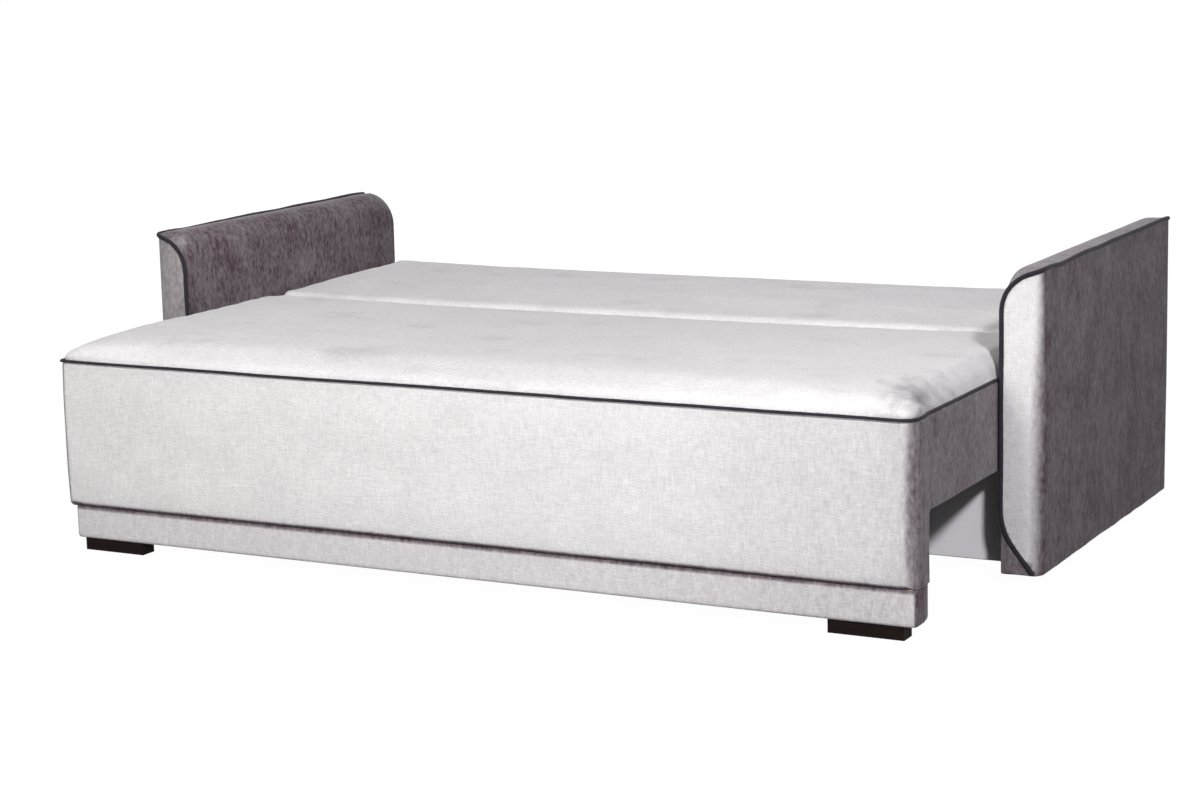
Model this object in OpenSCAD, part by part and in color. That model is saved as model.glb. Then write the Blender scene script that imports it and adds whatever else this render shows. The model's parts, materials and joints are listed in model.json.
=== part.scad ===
// Pull-out sofa bed, drawn as the open bed.
// X runs along the width, Y towards the back and Z up, all in millimetres.
// The origin is on the floor, in the middle of the open bed's footprint.

/* [Overall] */
// Clear width between the two arms
inner_w = 2000; // [1600:10:2200]
// Gap between the seat or the back and each arm
side_gap = 6; // [5:1:14]

/* [Arms] */
// Thickness of an arm
arm_t = 88; // [80:1:110]
// Depth of an arm, front to back
arm_d = 920; // [900:5:980]
// Height of an arm's outer top edge
arm_top = 658; // [600:1:720]
// Height of an arm's underside over the floor
arm_lift = 26; // [15:1:40]
// Radius of the rounded inner top edge
arm_r = 46; // [30:1:60]
// Slope of the top, down towards the inside, in degrees
arm_slope = 18; // [5:1:25]
// Radius of the soft outer corners
arm_corner_r = 16; // [8:1:24]
// Foam and fabric on each face of an arm
arm_foam = 24; // [16:1:28]

/* [Seat] */
// Distance of the seat's front face ahead of the arms
seat_out = 470; // [430:5:500]
// Depth of the seat, front face to seam
seat_d = 800; // [780:5:810]
// Height of the seat's underside
seat_z = 236; // [220:1:260]
// Height of the seat's side, up to its piping
side_h = 185; // [170:1:210]
// Height of the crown over the piping
crown_h = 39; // [30:1:50]
// Extra rise in the middle of a cushion
crown_extra = 3; // [0:0.5:6]
// How far the crown rolls in from the front and the sides
crown_in = 130; // [90:5:180]
// How far the cushions roll in at the seam
seam_in = 28; // [20:1:32]
// Thickness of the padded side panels
side_pad = 8; // [5:1:10]
// Radius of the piping cord
cord_r = 4; // [2.5:0.5:4.5]

/* [Apron and plinth] */
// Thickness of the apron, front to back
apron_t = 84; // [76:1:88]
// Thickness of the apron's front pad
pad_t = 22; // [16:1:26]
// Setback of the plinth behind the apron's front
plinth_set = 14; // [8:1:20]
// Height of the plinth
plinth_h = 71; // [50:1:90]
// Height of the front feet
foot_h = 27; // [20:1:40]
// Width of a front foot
foot_w = 156; // [100:2:200]
// Depth of a front foot
foot_d = 40; // [30:1:50]
// Distance of a front foot from the seat's side
foot_in = 24; // [15:1:60]

/* [Back] */
// Gap between the seat and the back at the seam
seam_gap = 14; // [12:1:24]
// Thickness of the back cushion with its frame
back_t = 122; // [112:1:130]

/* [Base box] */
// Distance of the front board behind the arms' front
base_in = 100; // [60:1:120]
// Thickness of the front, rear and middle boards
board_t = 18; // [16:1:22]
// Thickness of the side boards
side_t = 22; // [18:1:26]
// Height of the base feet
base_foot_h = 25; // [20:1:40]
// Running gap between the box and the seat above it
run_gap = 8; // [6:1:14]

/* [Rails and slats] */
// Thickness of the frame rails
rail_t = 25; // [20:1:30]
// Height of the frame rails
rail_h = 50; // [40:1:55]
// Width of a slat
slat_w = 60; // [40:1:80]
// Gap between two slats
slat_gap = 74; // [40:1:120]
// Thickness of a slat
slat_t = 8; // [6:0.5:10]

/* [Fold-over hardware] */
// Place of the lever's lower pivot behind the arms' front
lever_y = 624; // [600:1:650]
// Height of the lever's lower pivot
lever_z = 90; // [85:1:110]
// Distance of the upper pivot behind the back cushion's seam side
hinge_in = 12; // [8:1:20]
// Depth of the upper pivot below the back cushion
hinge_drop = 38; // [34:1:44]
// Width of a lever
lever_w = 30; // [24:1:34]
// Thickness of a lever
lever_t = 5; // [4:0.5:6]
// Radius of the pivot studs
stud_r = 6; // [5:0.5:7]
// Radius of a seat roller
roller_r = 16; // [12:1:18]
// Width of a seat roller
roller_w = 14; // [10:1:15]

/* [Hidden] */
$fn = 48;

// Colours
fabric = [0.72, 0.70, 0.70];
fabric_shade = [0.42, 0.39, 0.40];
cord_grey = [0.20, 0.19, 0.21];
pine = [0.80, 0.66, 0.47];
chipboard = [0.72, 0.60, 0.44];
laminate = [0.90, 0.90, 0.91];
hardboard = [0.45, 0.32, 0.20];
wenge = [0.12, 0.08, 0.07];
felt = [0.09, 0.09, 0.10];
steel = [0.55, 0.56, 0.58];
nylon = [0.15, 0.15, 0.16];

// Seat gap between fitted pieces of one body, and running clearance of a pivot
fit = 0.2;
run_fit = 0.05;
over = 1;

// Main places
half = inner_w / 2;
seat_half = half - side_gap;
seat_y = -seat_out;
seat_rear = seat_y + seat_d;
back_y = seat_rear + seam_gap;
side_top = seat_z + side_h;
cord_proud = 3;
cord_z = side_top + fit + cord_r;
crown_z = cord_z + cord_r + fit;
cushion_top = crown_z + crown_h;
back_z = cushion_top - back_t;
mid_y = (arm_d - seat_out - cord_proud) / 2;

// Arms
arm_cz = arm_top - arm_r * cos(arm_slope)
  - tan(arm_slope) * (arm_t - arm_r + arm_r * sin(arm_slope));
arm_cord_in = 2.5;
core_top = arm_cz + 14;
core_low = arm_lift + 12;
core_chamfer = 18;
cord_bend_z = 160;
cord_bend_r = 120;
cord_bend_a = 38;
cord_end_z = arm_lift + cord_r;
arm_bend_r = 6;
bolt_r = 4;
bolt_head_r = 8;
bolt_head_h = 5;
bolt_end = 170;
bolt_z = 140;
bolt_ys = [bolt_end, arm_d / 2, arm_d - bolt_end];

// Base box
sheet_t = 4;
base_z = base_foot_h + sheet_t;
base_top = seat_z - run_gap;
rear_pad = 8;
rear_in = 2;
rear_y = arm_d - rear_in - rear_pad - fit - board_t;
rear_top = back_z - 0.3;
side_in = half - fit - side_t;
box_y = base_in + board_t;
sheet_in = 10;
base_foot_r = 22;
base_foot_y = 240;
base_foot_end = 80;
base_foot_side = 150;
base_foot_x = half - base_foot_side;
// The gaps for the levers at the rear start this far above the lower pivots
notch_w = 34;
notch_rise = 174;
notch_z = lever_z + notch_rise;

// Seat rollers and their runners
axle_drop = 14;
axle_r = 5;
axle_z = seat_z - axle_drop;
axle_y = seat_rear - 40;
roller_x = half - 45;
runner_w = 38;
runner_h = 24;
runner_top = axle_z - roller_r - 0.3;
// Room beside a roller for its hub, and the axle's end past it for the clip
hub_room = 2;
clip_end = 5;
web_t = 4;
web_x = roller_x + roller_w / 2 + hub_room + 1;
flange_t = 3;
flange_w = 19;
flange_l = 44;

// Seat frame
rail_z = seat_z + 4;
deck_z = rail_z + rail_h + fit;
foam_z = deck_z + slat_t + fit;
seat_rail_x = seat_half - side_pad - fit;
seat_rail_t = 30;
frame_y = seat_y + apron_t + 1;
band_t = 12;
frame_rear = seat_rear - band_t - fit;
apron_rear = seat_y + apron_t;
pad_back = seat_y + pad_t;
panel_t = 8;
frame_front = pad_back + fit + panel_t + fit;
back_board_t = 4;
apron_z = foot_h + plinth_h;
apron_rail_h = 40;
apron_posts_n = 6;
apron_post_w = 45;
plinth_in = 4;
plinth_skin = 4;
// Corner radius of the highest flat of the seat's crown
seat_top_r = 90;
foot_setback = 5;
screw_r = 2.5;
screw_seat = 8;
felt_t = 2;

// Fold-over hardware
lever_side = 73;
lever_x = half - lever_side;
notch_x = lever_x - 16;
plate_t = 4;
plate_x = lever_x + 3;
bracket_w = 90;
bracket_h = 76;
boss_r = 13;
eye_r = 16;
stud_end = 13;
nut_r = 9.5;
nut_t = 6;
hinge_y = back_y + hinge_in;
hinge_z = back_z - hinge_drop;
lever_len = norm([hinge_y - lever_y, hinge_z - lever_z]);
lever_a = atan2(hinge_z - lever_z, hinge_y - lever_y);

// Back frame
back_rail_x = plate_x + plate_t + fit;
back_rail_t = 30;
back_skirt = 12;
back_frame_y = back_y + back_skirt + fit;
back_frame_rear = arm_d - back_skirt - fit;
back_rail_z = back_z + 4;
back_deck = back_rail_z + rail_h + fit;
back_cavity = back_deck + slat_t + fit;
// The highest flat of the back's crown: its distance from the edges and its corner radius
back_top_in = 190;
back_top_r = 80;
// Room for the back's brackets in the dust cover, past their pivots
plate_gap = 50;

// Helpers
module place() {
  translate([0, -mid_y, 0]) children();
}

module sided(side) {
  if (side > 0) children();
  else mirror([1, 0, 0]) children();
}

module both() {
  children();
  mirror([1, 0, 0]) children();
}

// A box from its low corner to its high corner
module box(low, high) {
  translate(low) cube(high - low);
}

// A profile drawn in (x, z), extruded from y0 to y1
module prism_y(y0, y1) {
  translate([0, y1, 0]) rotate([90, 0, 0]) linear_extrude(y1 - y0) children();
}

// A profile drawn in (y, z), extruded from x0 to x1
module prism_x(x0, x1) {
  translate([x0, 0, 0]) rotate([90, 0, 90]) linear_extrude(x1 - x0) children();
}

// A round bar along X
module bar_x(x0, x1, y, z, r) {
  translate([x0, y, z]) rotate([0, 90, 0]) cylinder(h = x1 - x0, r = r);
}

// A round bar between two points
module rod(a, b, r) {
  d = b - a;
  translate(a) rotate([0, acos(d.z / norm(d)), atan2(d.y, d.x)]) cylinder(h = norm(d), r = r);
}

// Places of n pieces of width w, spread evenly from a to b
function spread(a, b, w, n) = [for (i = [0:n - 1]) a + (b - w - a) * i / (n - 1)];

// A rounded rectangle as points, corner by corner
corner_n = 6;
function corner(cx, cy, r, a0) = [
  for (i = [0:corner_n - 1])
    let (a = a0 + 90 * i / (corner_n - 1)) [cx + r * cos(a), cy + r * sin(a)]
];
function outline(x0, x1, y0, y1, r) = concat(
  corner(x1 - r, y1 - r, r, 0), corner(x0 + r, y1 - r, r, 90),
  corner(x0 + r, y0 + r, r, 180), corner(x1 - r, y0 + r, r, 270)
);
function lift(points, z) = [for (p = points) [p.x, p.y, z]];

// A closed skin through rings of equal point count, capped at both ends
module skin(rings) {
  n = len(rings[0]);
  m = len(rings);
  points = [for (r = rings) for (p = r) p];
  low_cap = [for (i = [n - 1:-1:0]) i];
  high_cap = [for (i = [0:n - 1]) (m - 1) * n + i];
  sides = [
    for (k = [0:m - 2]) for (i = [0:n - 1])
      let (j = (i + 1) % n, a = k * n + i, b = k * n + j)
      each [[a, b, b + n], [a, b + n, a + n]]
  ];
  polyhedron(points = points, faces = concat([low_cap], sides, [high_cap]));
}

// The direction along a line of points, and the direction across it
function unit(v) = v / norm(v);
function along(p, i) = unit(p[min(i + 1, len(p) - 1)] - p[max(i - 1, 0)]);
function across(p, i) = let (t = along(p, i)) [-t.y, t.x];

// Directions square to a route, carried along it without twist
function normals(p, i = 0, last = [0, 1, 0]) = i == len(p) ? [] :
  let (t = along(p, i), n = unit(last - (last * t) * t)) concat([n], normals(p, i + 1, n));

// A round cord along a route
module tube(route, r, sides = 10) {
  ns = normals(route);
  skin([
    for (i = [0:len(route) - 1])
      let (t = along(route, i), b = cross(t, ns[i]))
      [for (k = [0:sides - 1]) route[i] + r * (cos(360 * k / sides) * ns[i] + sin(360 * k / sides) * b)]
  ]);
}

// Arms
module arm_profile() {
  tangent = [arm_r - arm_r * sin(arm_slope), arm_cz + arm_r * cos(arm_slope)];
  intersection() {
    square([arm_t, arm_top]);
    union() {
      translate([0, arm_lift]) square([arm_t, arm_cz - arm_lift]);
      translate([arm_r, arm_cz]) circle(arm_r);
      polygon([[arm_r, arm_cz - over], tangent, [arm_t, arm_top], [arm_t, arm_cz - over]]);
    }
  }
}

module arm_plan() {
  square([arm_t - arm_corner_r, arm_d]);
  translate([0, arm_corner_r]) square([arm_t, arm_d - 2 * arm_corner_r]);
  for (y = [arm_corner_r, arm_d - arm_corner_r])
    translate([arm_t - arm_corner_r, y]) circle(arm_corner_r);
}

module arm_core_shape(g = 0) {
  prism_y(arm_foam - g, arm_d - arm_foam + g)
    polygon([
      [arm_foam - g, core_low - g], [arm_t - arm_foam + g, core_low - g],
      [arm_t - arm_foam + g, core_top + g], [arm_foam + core_chamfer, core_top + g],
      [arm_foam - g, core_top - core_chamfer]
    ]);
}

module arm_bolt_holes(r) {
  for (y = bolt_ys) bar_x(-over, arm_t - arm_foam - over, y, bolt_z, r);
}

// The cord's route on the front face, as (out, up), from the outer bottom to the outer top corner
function arm_cord_front() =
  let (
    c = arm_cord_in,
    low = [c + cord_bend_r * (1 - cos(cord_bend_a)), cord_bend_z - cord_bend_r * sin(cord_bend_a)],
    end = [low.x + (low.y - cord_end_z) / tan(90 - cord_bend_a), cord_end_z],
    arc = arm_r - c,
    top_a = 90 + arm_slope,
    top = [arm_r + arc * cos(top_a), arm_cz + arc * sin(top_a)],
    edge = [arm_t - c, top.y + (arm_t - c - top.x) * tan(arm_slope)]
  )
  concat(
    [end],
    [for (i = [0:4]) let (a = cord_bend_a * (1 - i / 4))
      [c + cord_bend_r * (1 - cos(a)), cord_bend_z - cord_bend_r * sin(a)]],
    [for (i = [0:6]) let (a = 180 - (180 - top_a) * i / 6)
      [arm_r + arc * cos(a), arm_cz + arc * sin(a)]],
    [edge]
  );

// The whole route in space: the front part, a tight bend and the outer top edge
function arm_cord_route() =
  let (
    c = arm_cord_in,
    front = arm_cord_front(),
    n = len(front),
    edge = front[n - 1],
    slope = [cos(arm_slope), 0, sin(arm_slope)]
  )
  concat(
    [for (i = [0:n - 2]) [front[i].x, c, front[i].y]],
    [for (i = [0:4]) let (a = 90 * i / 4)
      [edge.x, c, edge.y] + arm_bend_r * ((sin(a) - 1) * slope + [0, 1 - cos(a), 0])],
    [[edge.x, arm_d - c, edge.y]]
  );

// The rebate that the cord lies in
module arm_cord_rebate() {
  w = cord_r + fit;
  front = arm_cord_front();
  n = len(front);
  start = front[0] + (front[0] - front[1]) * 0.4;
  stop = front[n - 1] + [cos(arm_slope), sin(arm_slope)] * 4 * cord_r;
  line = concat([start], [for (i = [1:n - 2]) front[i]], [stop]);
  prism_y(-over, arm_cord_in + w) polygon(concat(
    [for (i = [0:n - 1]) line[i] + w * across(line, i)],
    [for (i = [n - 1:-1:0]) line[i] - w * across(line, i)]
  ));
  box([arm_t - arm_cord_in - w, -over, front[n - 1].y - w], [arm_t + over, arm_d + over, arm_top + over]);
}

module arm_core(side) color(chipboard) place() sided(side) translate([half, 0, 0]) difference() {
  arm_core_shape();
  arm_bolt_holes(bolt_r + fit);
}

module arm_cover(side) color(fabric) place() sided(side) translate([half, 0, 0]) difference() {
  intersection() {
    prism_y(0, arm_d) arm_profile();
    linear_extrude(arm_top + over) arm_plan();
  }
  arm_core_shape(fit);
  arm_bolt_holes(bolt_r + fit);
  arm_cord_rebate();
}

module arm_piping(side) color(cord_grey) place() sided(side) translate([half, 0, 0])
  tube(arm_cord_route(), cord_r);

module arm_bolts() color(steel) place() both() for (y = bolt_ys) {
  bar_x(side_in, half + arm_t - arm_foam - 3, y, bolt_z, bolt_r);
  bar_x(side_in - fit - bolt_head_h, side_in - fit, y, bolt_z, bolt_head_r);
  bar_x(side_in - fit - over, side_in + over, y, bolt_z, bolt_r);
}

// Base box
bracket_screw_y = bracket_w / 2 - 12;
bracket_screw_z = bracket_h / 2 - 12;

module at_bracket_screws() {
  for (y = [-1, 1], z = [-1, 1])
    translate([0, lever_y + y * bracket_screw_y, lever_z + z * bracket_screw_z]) children();
}

module base_side(side) color(chipboard) place() sided(side) difference() {
  box([side_in, box_y + fit, base_z + fit], [half - fit, rear_y - fit, base_top]);
  for (y = bolt_ys) bar_x(side_in - over, half, y, bolt_z, bolt_r + fit);
  at_bracket_screws() bar_x(side_in - over, side_in + side_t - 4, 0, 0, screw_r + fit);
}

module base_front_board() color(laminate) place()
  box([-half + fit, base_in, base_z], [half - fit, box_y, base_top]);

module base_rear_board() color(chipboard) place()
  box([-half + fit, rear_y, base_z + fit], [half - fit, rear_y + board_t, notch_z]);

// The open back lies on three blocks, and the levers swing in between them
module base_rest_blocks() color(pine) place()
  for (x = [[-half + fit, -notch_x - notch_w], [-notch_x, notch_x], [notch_x + notch_w, half - fit]])
    box([x[0], rear_y, notch_z + fit], [x[1], rear_y + board_t, rear_top]);

module base_rear_cover() color(fabric_shade) place() difference() {
  prism_x(-half + fit, half - fit) {
    y0 = rear_y + board_t + fit;
    r = rear_pad / 2;
    translate([y0, base_foot_h]) square([r, rear_top - base_foot_h]);
    translate([y0, base_foot_h + r]) square([rear_pad, rear_top - base_foot_h - rear_pad]);
    for (z = [base_foot_h + r, rear_top - r]) translate([y0 + r, z]) circle(r);
  }
  both() box([notch_x, rear_y - over, notch_z], [notch_x + notch_w, arm_d + over, arm_top]);
}

module base_divider() color(chipboard) place()
  box([-board_t / 2, box_y + fit, base_z + fit], [board_t / 2, rear_y - fit, base_top]);

module base_bottom() color(hardboard) place()
  box([-half + sheet_in, base_in + sheet_in, base_foot_h + fit],
    [half - sheet_in, rear_y + board_t - sheet_in, base_z - fit]);

module base_feet() color(nylon) place()
  for (x = [-base_foot_x, 0, base_foot_x], y = [base_foot_y, arm_d - base_foot_end])
    translate([x, y, 0]) cylinder(h = base_foot_h, r1 = base_foot_r - 4, r2 = base_foot_r);

module runner(side) color(pine) place() sided(side)
  box([side_in - fit - runner_w, box_y + 12, runner_top - runner_h],
    [side_in - fit, rear_y - 12, runner_top]);

// Fold-over hardware, fixed to the base
module lever_bracket(side) color(steel) place() sided(side) difference() {
  union() {
    box([side_in - fit - plate_t, lever_y - bracket_w / 2, lever_z - bracket_h / 2],
      [side_in - fit, lever_y + bracket_w / 2, lever_z + bracket_h / 2]);
    bar_x(lever_x + fit, side_in - fit - plate_t / 2, lever_y, lever_z, boss_r);
    bar_x(lever_x - stud_end, side_in - fit - plate_t / 2, lever_y, lever_z, stud_r);
  }
  at_bracket_screws() bar_x(side_in - 3 * plate_t, side_in, 0, 0, screw_r + fit);
}

module bracket_screws() color(steel) place() both() at_bracket_screws() {
  bar_x(side_in - plate_t - 3, side_in - plate_t - 2 * fit, 0, 0, 2 * screw_r);
  bar_x(side_in - plate_t - 2, side_in + side_t - 5, 0, 0, screw_r);
}

// A nut on the end of a pivot stud, on the lever's inner side
module stud_nut() difference() {
  translate([lever_x - lever_t - fit - nut_t, 0, 0]) rotate([0, 90, 0])
    cylinder(h = nut_t, r = nut_r, $fn = 6);
  bar_x(lever_x - 2 * stud_end, lever_x, 0, 0, stud_r + run_fit);
}

module lever_nuts() color(steel) place() both() translate([0, lever_y, lever_z]) stud_nut();

module back_nuts() color(steel) place() both() translate([0, hinge_y, hinge_z]) stud_nut();

module swing_arm(side) color(steel) place() sided(side)
  prism_x(lever_x - lever_t, lever_x) translate([lever_y, lever_z]) rotate(lever_a) difference() {
    union() {
      circle(eye_r + 2);
      translate([lever_len, 0]) circle(eye_r);
      translate([0, -lever_w / 2]) square([lever_len, lever_w]);
    }
    circle(stud_r + run_fit);
    translate([lever_len, 0]) circle(stud_r + run_fit);
  }

// Seat frame
module seat_side_rails() color(pine) place() both()
  box([seat_rail_x - seat_rail_t, frame_y, rail_z], [seat_rail_x, frame_rear, rail_z + rail_h]);

module seat_cross_rails() color(pine) place()
  for (y = spread(frame_y, frame_rear, rail_t, 5))
    box([-seat_rail_x + seat_rail_t + fit, y, rail_z],
      [seat_rail_x - seat_rail_t - fit, y + rail_t, rail_z + rail_h]);

// Slats between two limits in x, from front to rear
module slats(x_end, y0, y1, z) {
  n = 1 + floor((2 * x_end - slat_w) / (slat_w + slat_gap));
  for (x = spread(-x_end, x_end, slat_w, n)) box([x, y0, z], [x + slat_w, y1, z + slat_t]);
}

module seat_slats() color(pine) place() slats(seat_rail_x - 20, frame_y, frame_rear, deck_z);

// Rings of a crowned top: front and sides roll in by far, the rear by near
function crown(x, y0, y1, z, rise, far, near, r0, n) = [
  for (i = [0:n])
    let (a = 90 * i / n, c = 1 - cos(a))
    lift(outline(-x + far * c, x - far * c, y0 + far * c, y1 - near * c, r0 + far * c / 2),
      z + rise * sin(a))
];

module seat_cushion() color(fabric) place() {
  x = seat_rail_x;
  notch = cord_r * 2 - cord_proud + fit;
  skin(concat(
    [
      lift(outline(-x + 3, x - 3, frame_front + 3, seat_rear - 3, 8), foam_z),
      lift(outline(-x, x, frame_front, seat_rear, 10), foam_z + 24),
      lift(outline(-x, x, frame_front, seat_rear, 12), side_top + fit / 2),
      lift(outline(-x, x, seat_y + notch + 4, seat_rear, 12), side_top + fit),
      lift(outline(-x, x, seat_y + notch + 4, seat_rear, 12), crown_z - fit)
    ],
    crown(seat_half - 1, seat_y + 1, seat_rear, crown_z, crown_h, crown_in, seam_in, 14, 9),
    [lift(outline(-seat_half / 2, seat_half / 2, seat_y + seat_d * 0.4, seat_y + seat_d * 0.7, seat_top_r),
      cushion_top + crown_extra)]
  ));
}

// The side panel runs down over the apron's end in one piece
module seat_side(side) color(fabric_shade) place() sided(side)
  prism_x(seat_half - side_pad, seat_half) {
    y0 = pad_back + fit;
    polygon([
      [y0, apron_z + fit], [apron_rear, apron_z + fit], [apron_rear, seat_z],
      [seat_rear, seat_z], [seat_rear, side_top], [y0, side_top]
    ]);
  }

module seat_rear_band() color(fabric_shade) place() prism_x(-seat_rail_x, seat_rail_x) {
  y0 = seat_rear - band_t;
  r = band_t / 2;
  translate([y0, seat_z]) square([band_t - r, foam_z - fit - seat_z]);
  translate([y0, seat_z + r]) square([band_t, foam_z - fit - seat_z - r]);
  translate([seat_rear - r, seat_z + r]) circle(r);
}

module seat_piping() color(cord_grey) place() {
  x = seat_half + cord_proud - cord_r;
  y = seat_y - cord_proud + cord_r;
  r = 14;
  rod([-x + r, y, cord_z], [x - r, y, cord_z], cord_r);
  both() {
    rod([x, y + r, cord_z], [x, seat_rear - seam_in, cord_z], cord_r);
    translate([x - r, y + r, cord_z]) rotate(-90)
      rotate_extrude(angle = 90) translate([r, 0]) circle(cord_r);
  }
}

module seat_dust_cover() color(felt) place() {
  x = roller_x - roller_w / 2 - hub_room;
  box([-x, frame_y, rail_z - fit - felt_t], [x, frame_rear, rail_z - fit]);
}

// Apron
module apron_rails() color(pine) place() for (z = [apron_z + fit, rail_z + rail_h - apron_rail_h])
  box([-seat_rail_x, frame_front, z], [seat_rail_x, apron_rear - back_board_t - fit, z + apron_rail_h]);

module apron_posts() color(pine) place()
  for (x = spread(-seat_rail_x, seat_rail_x, apron_post_w, apron_posts_n))
    box([x, frame_front, apron_z + apron_rail_h + 2 * fit],
      [x + apron_post_w, apron_rear - back_board_t - fit, rail_z + rail_h - apron_rail_h - fit]);

module apron_panel() color(chipboard) place()
  box([-seat_rail_x, pad_back + fit, apron_z + fit], [seat_rail_x, pad_back + fit + panel_t, side_top - 6]);

module apron_back() color(felt) place()
  box([-seat_rail_x, apron_rear - back_board_t, apron_z + fit], [seat_rail_x, apron_rear, rail_z + rail_h]);

// The front pad: its rings step forward from the panel and roll in at the ends and below
module apron_pad() color(fabric) place() {
  steps = [
    [0, 0, 0, 0], [pad_t - 12, 0, 0, 0], [pad_t - 6, 1.5, 1, 0], [pad_t - 3, 4, 3, 0],
    [pad_t - 1, 9, 7, 1], [pad_t - 0.2, 18, 16, 4], [pad_t, 60, 60, 60]
  ];
  rotate([90, 0, 0]) skin([
    for (s = steps)
      lift(outline(-seat_half + s[1], seat_half - s[1], apron_z + fit + s[2], side_top - s[3], 6 + s[1] / 3),
        -pad_back + s[0])
  ]);
}

// Plinth and front feet
plinth_x = seat_half - plinth_in;
plinth_y = seat_y + plinth_set;
foot_y = plinth_y + foot_setback;
foot_x = seat_half - foot_in - foot_w;

module plinth_plan(g) {
  polygon(outline(-plinth_x + g, plinth_x - g, plinth_y + g, apron_rear - g, 8 - g));
}

module at_foot_screws() {
  both() for (x = [foot_w * 0.25, foot_w * 0.75]) translate([foot_x + x, foot_y + foot_d / 2, 0]) children();
}

module plinth_cover() color(fabric) place() difference() {
  translate([0, 0, foot_h]) linear_extrude(plinth_h - fit) plinth_plan(0);
  translate([0, 0, foot_h + plinth_skin]) linear_extrude(plinth_h) plinth_plan(plinth_skin);
  at_foot_screws() cylinder(h = foot_h + plinth_h / 2, r = screw_r + fit);
}

module plinth_rail() color(pine) place() difference() {
  g = plinth_skin + fit;
  translate([0, 0, foot_h + g]) linear_extrude(plinth_h - g - fit) plinth_plan(g);
  at_foot_screws() cylinder(h = foot_h + plinth_h / 2, r = screw_r + fit);
}

module front_feet() color(wenge) place() difference() {
  both() box([foot_x, foot_y, 0], [foot_x + foot_w, foot_y + foot_d, foot_h - fit]);
  at_foot_screws() {
    translate([0, 0, -over]) cylinder(h = foot_h + 2 * over, r = screw_r + fit);
    translate([0, 0, -over]) cylinder(h = screw_seat + over, r = 2 * screw_r + fit);
  }
}

module foot_screws() color(steel) place() at_foot_screws() {
  translate([0, 0, screw_seat - fit - 3]) cylinder(h = 3, r = 2 * screw_r);
  translate([0, 0, screw_seat - over]) cylinder(h = foot_h + plinth_h / 2 - screw_seat, r = screw_r);
}

// Seat rollers
module roller_bracket(side) color(steel) place() sided(side) {
  box([web_x, axle_y - flange_l / 2, rail_z - fit - flange_t],
    [web_x + flange_w, axle_y + flange_l / 2, rail_z - fit]);
  box([web_x, axle_y - axle_r * 2, axle_z], [web_x + web_t, axle_y + axle_r * 2, rail_z - fit - over]);
  bar_x(web_x, web_x + web_t, axle_y, axle_z, axle_r * 2);
  bar_x(roller_x - roller_w / 2 - clip_end, web_x + over, axle_y, axle_z, axle_r);
}

module roller_clips() color(steel) place() both() difference() {
  x1 = roller_x - roller_w / 2 - 1;
  bar_x(x1 - hub_room - fit, x1, axle_y, axle_z, axle_r * 1.7);
  bar_x(0, roller_x, axle_y, axle_z, axle_r + run_fit);
}

module roller(side) color(nylon) place() sided(side) translate([roller_x, axle_y, axle_z]) rotate([0, 90, 0])
  rotate_extrude() {
    w = roller_w / 2;
    bore = axle_r + run_fit;
    polygon([
      [bore, -w - 0.6], [axle_r + 4, -w - 0.6], [axle_r + 5, -w + 1], [roller_r - 2, -w + 1],
      [roller_r, -w + 3], [roller_r, w - 3], [roller_r - 2, w - 1], [axle_r + 5, w - 1],
      [axle_r + 4, w + hub_room], [bore, w + hub_room]
    ]);
  }

// Back
module back_side_rails() color(pine) place() both()
  box([back_rail_x, back_frame_y, back_rail_z], [back_rail_x + back_rail_t, back_frame_rear, back_rail_z + rail_h]);

module back_cross_rails() color(pine) place()
  for (y = spread(back_frame_y, back_frame_rear, rail_t, 4))
    box([-plate_x + fit, y, back_rail_z], [plate_x - fit, y + rail_t, back_rail_z + rail_h]);

module back_slats() color(pine) place()
  slats(back_rail_x + back_rail_t, back_frame_y, back_frame_rear, back_deck);

module back_cushion() color(fabric) place() {
  x = seat_half;
  xi = back_rail_x + back_rail_t + fit;
  yi = back_y + back_skirt;
  ye = arm_d - back_skirt;
  skin(concat(
    [
      lift(outline(-xi, xi, yi, ye, 1), back_cavity),
      lift(outline(-xi, xi, yi, ye, 1), back_z),
      lift(outline(-x + 9, x - 9, back_y + 9, arm_d - 9, 6), back_z),
      lift(outline(-x + 3, x - 3, back_y + 3, arm_d - 3, 9), back_z + 4),
      lift(outline(-x, x, back_y, arm_d, 12), back_z + 12)
    ],
    crown(x, back_y, arm_d, crown_z, crown_h, seam_in, seam_in, 12, 8),
    [
      lift(outline(-x / 2, x / 2, back_y + back_top_in, arm_d - back_top_in, back_top_r),
        cushion_top + crown_extra)
    ]
  ));
}

module back_dust_cover() color(felt) place() difference() {
  box([-back_rail_x - back_rail_t, back_frame_y, back_rail_z - fit - felt_t],
    [back_rail_x + back_rail_t, back_frame_rear, back_rail_z - fit]);
  both() box([plate_x - 2, back_y, back_z], [back_rail_x + 1, hinge_y + plate_gap, back_rail_z]);
}

// The plate on the back's side rail that carries the upper pivot
module back_bracket(side) color(steel) place() sided(side) {
  y0 = back_frame_y + fit;
  z1 = back_rail_z + rail_h - 5;
  prism_x(plate_x, plate_x + plate_t) {
    polygon([
      [hinge_y - eye_r * cos(20), hinge_z + eye_r * sin(20)], [hinge_y, hinge_z], [hinge_y + eye_r, hinge_z],
      [y0 + 44, back_z + 6], [y0 + 44, z1], [y0, z1], [y0, back_z - 6]
    ]);
    translate([hinge_y, hinge_z]) circle(eye_r);
  }
  bar_x(lever_x + fit, plate_x + plate_t / 2, hinge_y, hinge_z, stud_r + 4);
  bar_x(lever_x - stud_end, plate_x + plate_t / 2, hinge_y, hinge_z, stud_r);
}

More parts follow.
